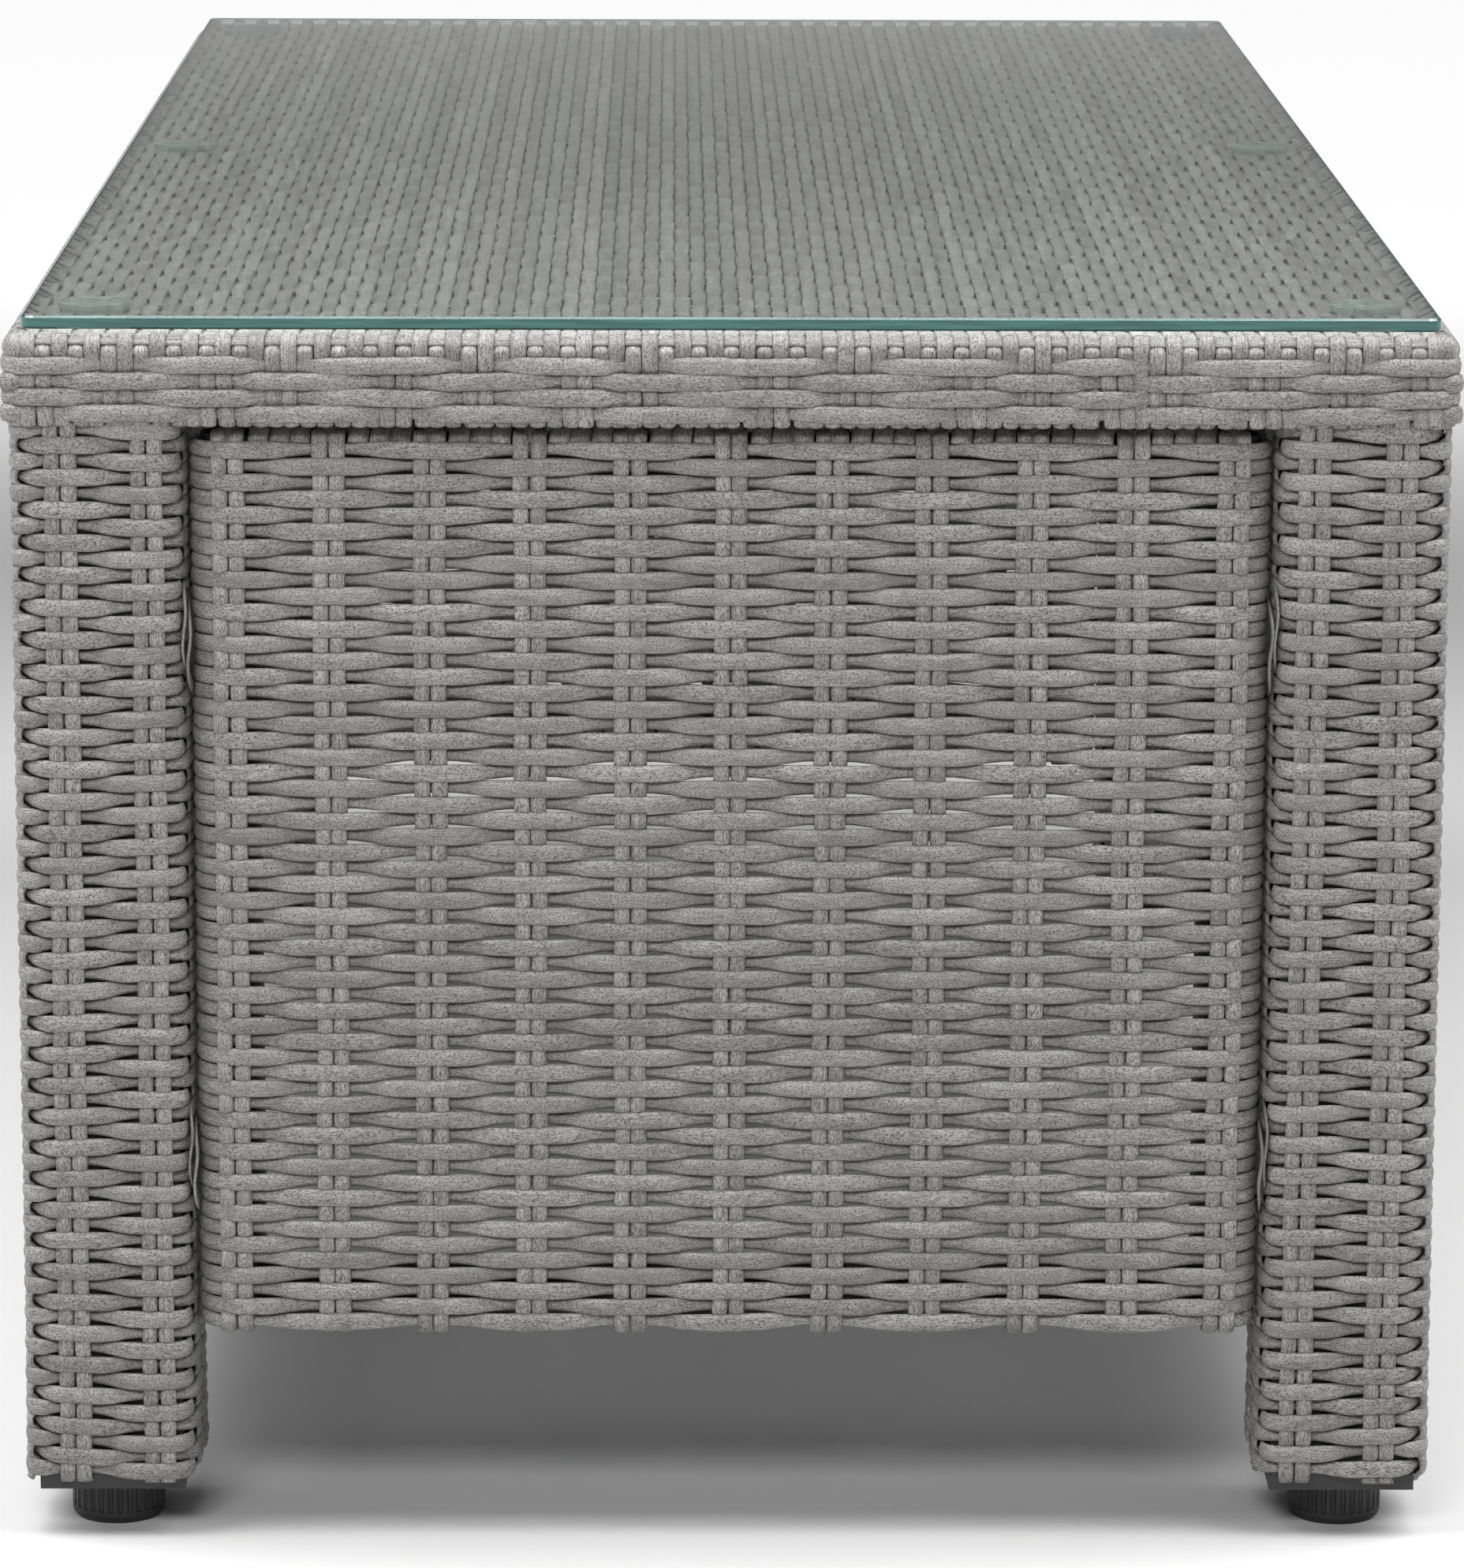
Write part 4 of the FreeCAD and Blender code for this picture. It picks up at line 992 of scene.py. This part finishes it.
def weave_rim_rows():
    """Four rows round the rim, and the bar along its top edge."""
    bundle = Bundle("rim_rows")
    loop = Loop((0, 0, 0), HALF_X - FACE_DEPTH, HALF_Y - FACE_DEPTH, RIM_CORNER)
    s = np.arange(0, loop.length, RIM_STEP)
    place, facing = loop.at(s, 0.0)
    on_end = np.abs(facing[:, 1]) > NEARLY_STRAIGHT
    straight = on_end | (np.abs(facing[:, 0]) > NEARLY_STRAIGHT)
    end_number = place[:, 0] / COLUMN_PITCH + (COLUMNS - 1) / 2
    side_number = place[:, 1] / COLUMN_PITCH + (SIDE_STRIPS - 1) / 2
    for row in range(RIM_ROWS):
        which = row % 2
        end_away = distance_to_pair(end_number, (ODD_PAIRS, EVEN_PAIRS)[which])
        side_away = distance_to_pair(side_number, SIDE_PAIRS[which])
        away = np.where(on_end, end_away, side_away)
        dip = 0.5 + 0.5 * np.cos(math.pi * np.clip((away - DIP_STARTS) / DIP_LENGTH, 0, 1))
        over = 1 - 2 * np.where(straight, dip, 0.0)
        bulge = np.where(straight, 0.0, CORNER_BULGE[which])
        path, outward = loop.at(s, RIM_LAYER * over + bulge)
        path[:, 2] = RIM_FIRST - row * RIM_PITCH + wander(s, *RIM_WANDER)
        bundle.add(path, outward, row_width(over, RIM_NARROW, RIM_WIDTH), RIM_THICK, closed=True)
    for depth, height, facing_up in BAR_STRANDS:
        path, outward = loop.at(s, FACE_DEPTH - depth)
        path[:, 2] = deck_low.z + height + wander(s, *BAR_WANDER)
        normals = outward * math.cos(facing_up) + UP * math.sin(facing_up)
        bundle.add(path, normals, BAR_WIDTH, BAR_THICK, closed=True)
    nodes = [f"rim_weave_{side}" for side in ("front", "back", "left", "right")]
    bundle.piece("table", nodes, wicker)


def weave_corners():
    """Strips that fan out over each corner of the tabletop, down its rim and under."""
    bundle = Bundle("corner_strips")
    never_in_front = (0, 0, 0, 0)
    depth, z, face_n, face_z = (values[:-1] for values in edge_profile(True, never_in_front))
    for end in (-1, 1):
        for side in (-1, 1):
            hub = np.array([side * (HALF_X - CORNER_ROUND), end * (HALF_Y - CORNER_ROUND), 0.0])
            for turn in CORNER_STRIPS:
                outward = np.array([side * math.cos(turn), end * math.sin(turn), 0.0])
                path = hub + (CORNER_ROUND - depth)[:, None] * outward + z[:, None] * UP
                normals = face_n[:, None] * outward + face_z[:, None] * UP
                bundle.add(path, normals, CORNER_STRIP_WIDTH, COLUMN_THICK)
    bundle.piece("table", ["tabletop_weave", "rim_weave_front", "rim_weave_back"], wicker)


weave_deck()
weave_deck_stakes()
weave_corners()
weave_long_edges()
weave_rim_rows()


# ---------------------------------------------------------------- floor, lights and camera

# name, place, what it shines at, size, power, and the whole angle that it shines into
LAMPS = [
    ("overhead", (0.0, -0.5, 2.3), (0, 0.5, 0.47), (1.6, 0.8), 27, 180),
    ("key", (-0.5, -2.8, 2.1), (0, -0.4, 0.25), (1.2, 0.7), 49, 180),
    ("floor_left", (-1.9, -0.5, 2.2), (-1.5, -0.5, 0), (1.6, 2.6), 50, 100),
    ("floor_right", (1.9, -0.5, 2.2), (1.5, -0.5, 0), (1.6, 2.6), 50, 100),
]
# from the table's middle: the floor's painted glow starts and is full at these distances; nearer the table
# it has none, a painted pool of shade round it
PAINTED_GLOW_STARTS, PAINTED_GLOW_FULL, PAINTED_GLOW_STRENGTH = 1.4, 3.0, 0.88
# how bright the room is by height of view: from and to which height, and the strengths there
HORIZON_GLOW = (0.055, 0.128, 0.72, 0.0)
CEILING_GLOW = (0.25, 0.85, 0.06, 0.15)
CAMERA_PLACE = (-0.0218, -3.0944, 0.8511)
CAMERA_PITCH, CAMERA_YAW, CAMERA_ROLL = (math.radians(angle) for angle in (12.219, 0.505, 0.211))


def studio_floor():
    """A pale floor with painted light: its emission makes it glow away from the table, and near the table
    it has none, which leaves a painted pool of shade round the table.
    """
    bpy.ops.mesh.primitive_plane_add(size=60, location=(0, 0, 0))
    floor = bpy.context.object
    floor.name = "floor"
    material, kit = new_material("floor")
    place = kit.place()
    away = kit.node("ShaderNodeVectorMath", operation="LENGTH")
    kit.feed(away, {0: place})
    # painted light and shade: emission grows with distance from the table, so the floor near it stays
    # darker, as painted shade
    painted_glow = kit.ramp(away.outputs["Value"], PAINTED_GLOW_STARTS, PAINTED_GLOW_FULL, 0.0, PAINTED_GLOW_STRENGTH)
    kit.feed(kit.shader, {"Base Color": kit.mix(kit.noise(place, 3.0), grey(0.50), grey(0.52)),
                          "Roughness": 0.9, "Emission Color": grey(1), "Emission Strength": painted_glow})
    material.cycles.emission_sampling = "NONE"
    floor.data.materials.append(material)


def area_light(name, place, aim, size, power, spread):
    """A soft rectangular lamp."""
    data = bpy.data.lights.new(name, "AREA")
    data.shape = "RECTANGLE"
    data.size, data.size_y = size
    data.energy = power
    data.spread = math.radians(spread)
    lamp = bpy.data.objects.new(name, data)
    bpy.context.scene.collection.objects.link(lamp)
    lamp.location = place
    lamp.rotation_euler = (Vector(aim) - Vector(place)).to_track_quat("-Z", "Y").to_euler()


def studio_world():
    """A pale room: bright at the horizon and faintly so above, and dark in between."""
    world = bpy.data.worlds.new("studio")
    bpy.context.scene.world = world
    kit = Nodes(world, "Background")
    height = kit.part(kit.node("ShaderNodeTexCoord").outputs["Generated"], 2)
    strength = kit.math("ADD", kit.ramp(height, *HORIZON_GLOW), kit.ramp(height, *CEILING_GLOW))
    kit.feed(kit.shader, {"Color": grey(1), "Strength": strength})


def camera():
    """A long lens at the table's near end, a little above its top and a little left of its middle."""
    data = bpy.data.cameras.new("camera")
    data.sensor_fit = "VERTICAL"
    data.sensor_height = 36.0
    data.lens = 158.37
    data.clip_end = 100
    item = bpy.data.objects.new("camera", data)
    bpy.context.scene.collection.objects.link(item)
    item.location = CAMERA_PLACE
    aim = Euler((math.pi / 2 - CAMERA_PITCH, 0, -CAMERA_YAW), "XYZ").to_matrix()
    item.rotation_euler = (aim @ Euler((0, 0, CAMERA_ROLL), "XYZ").to_matrix()).to_euler()
    bpy.context.scene.camera = item


studio_floor()
studio_world()
for lamp in LAMPS:
    area_light(*lamp)
camera()
bpy.context.scene.view_settings.view_transform = "Standard"
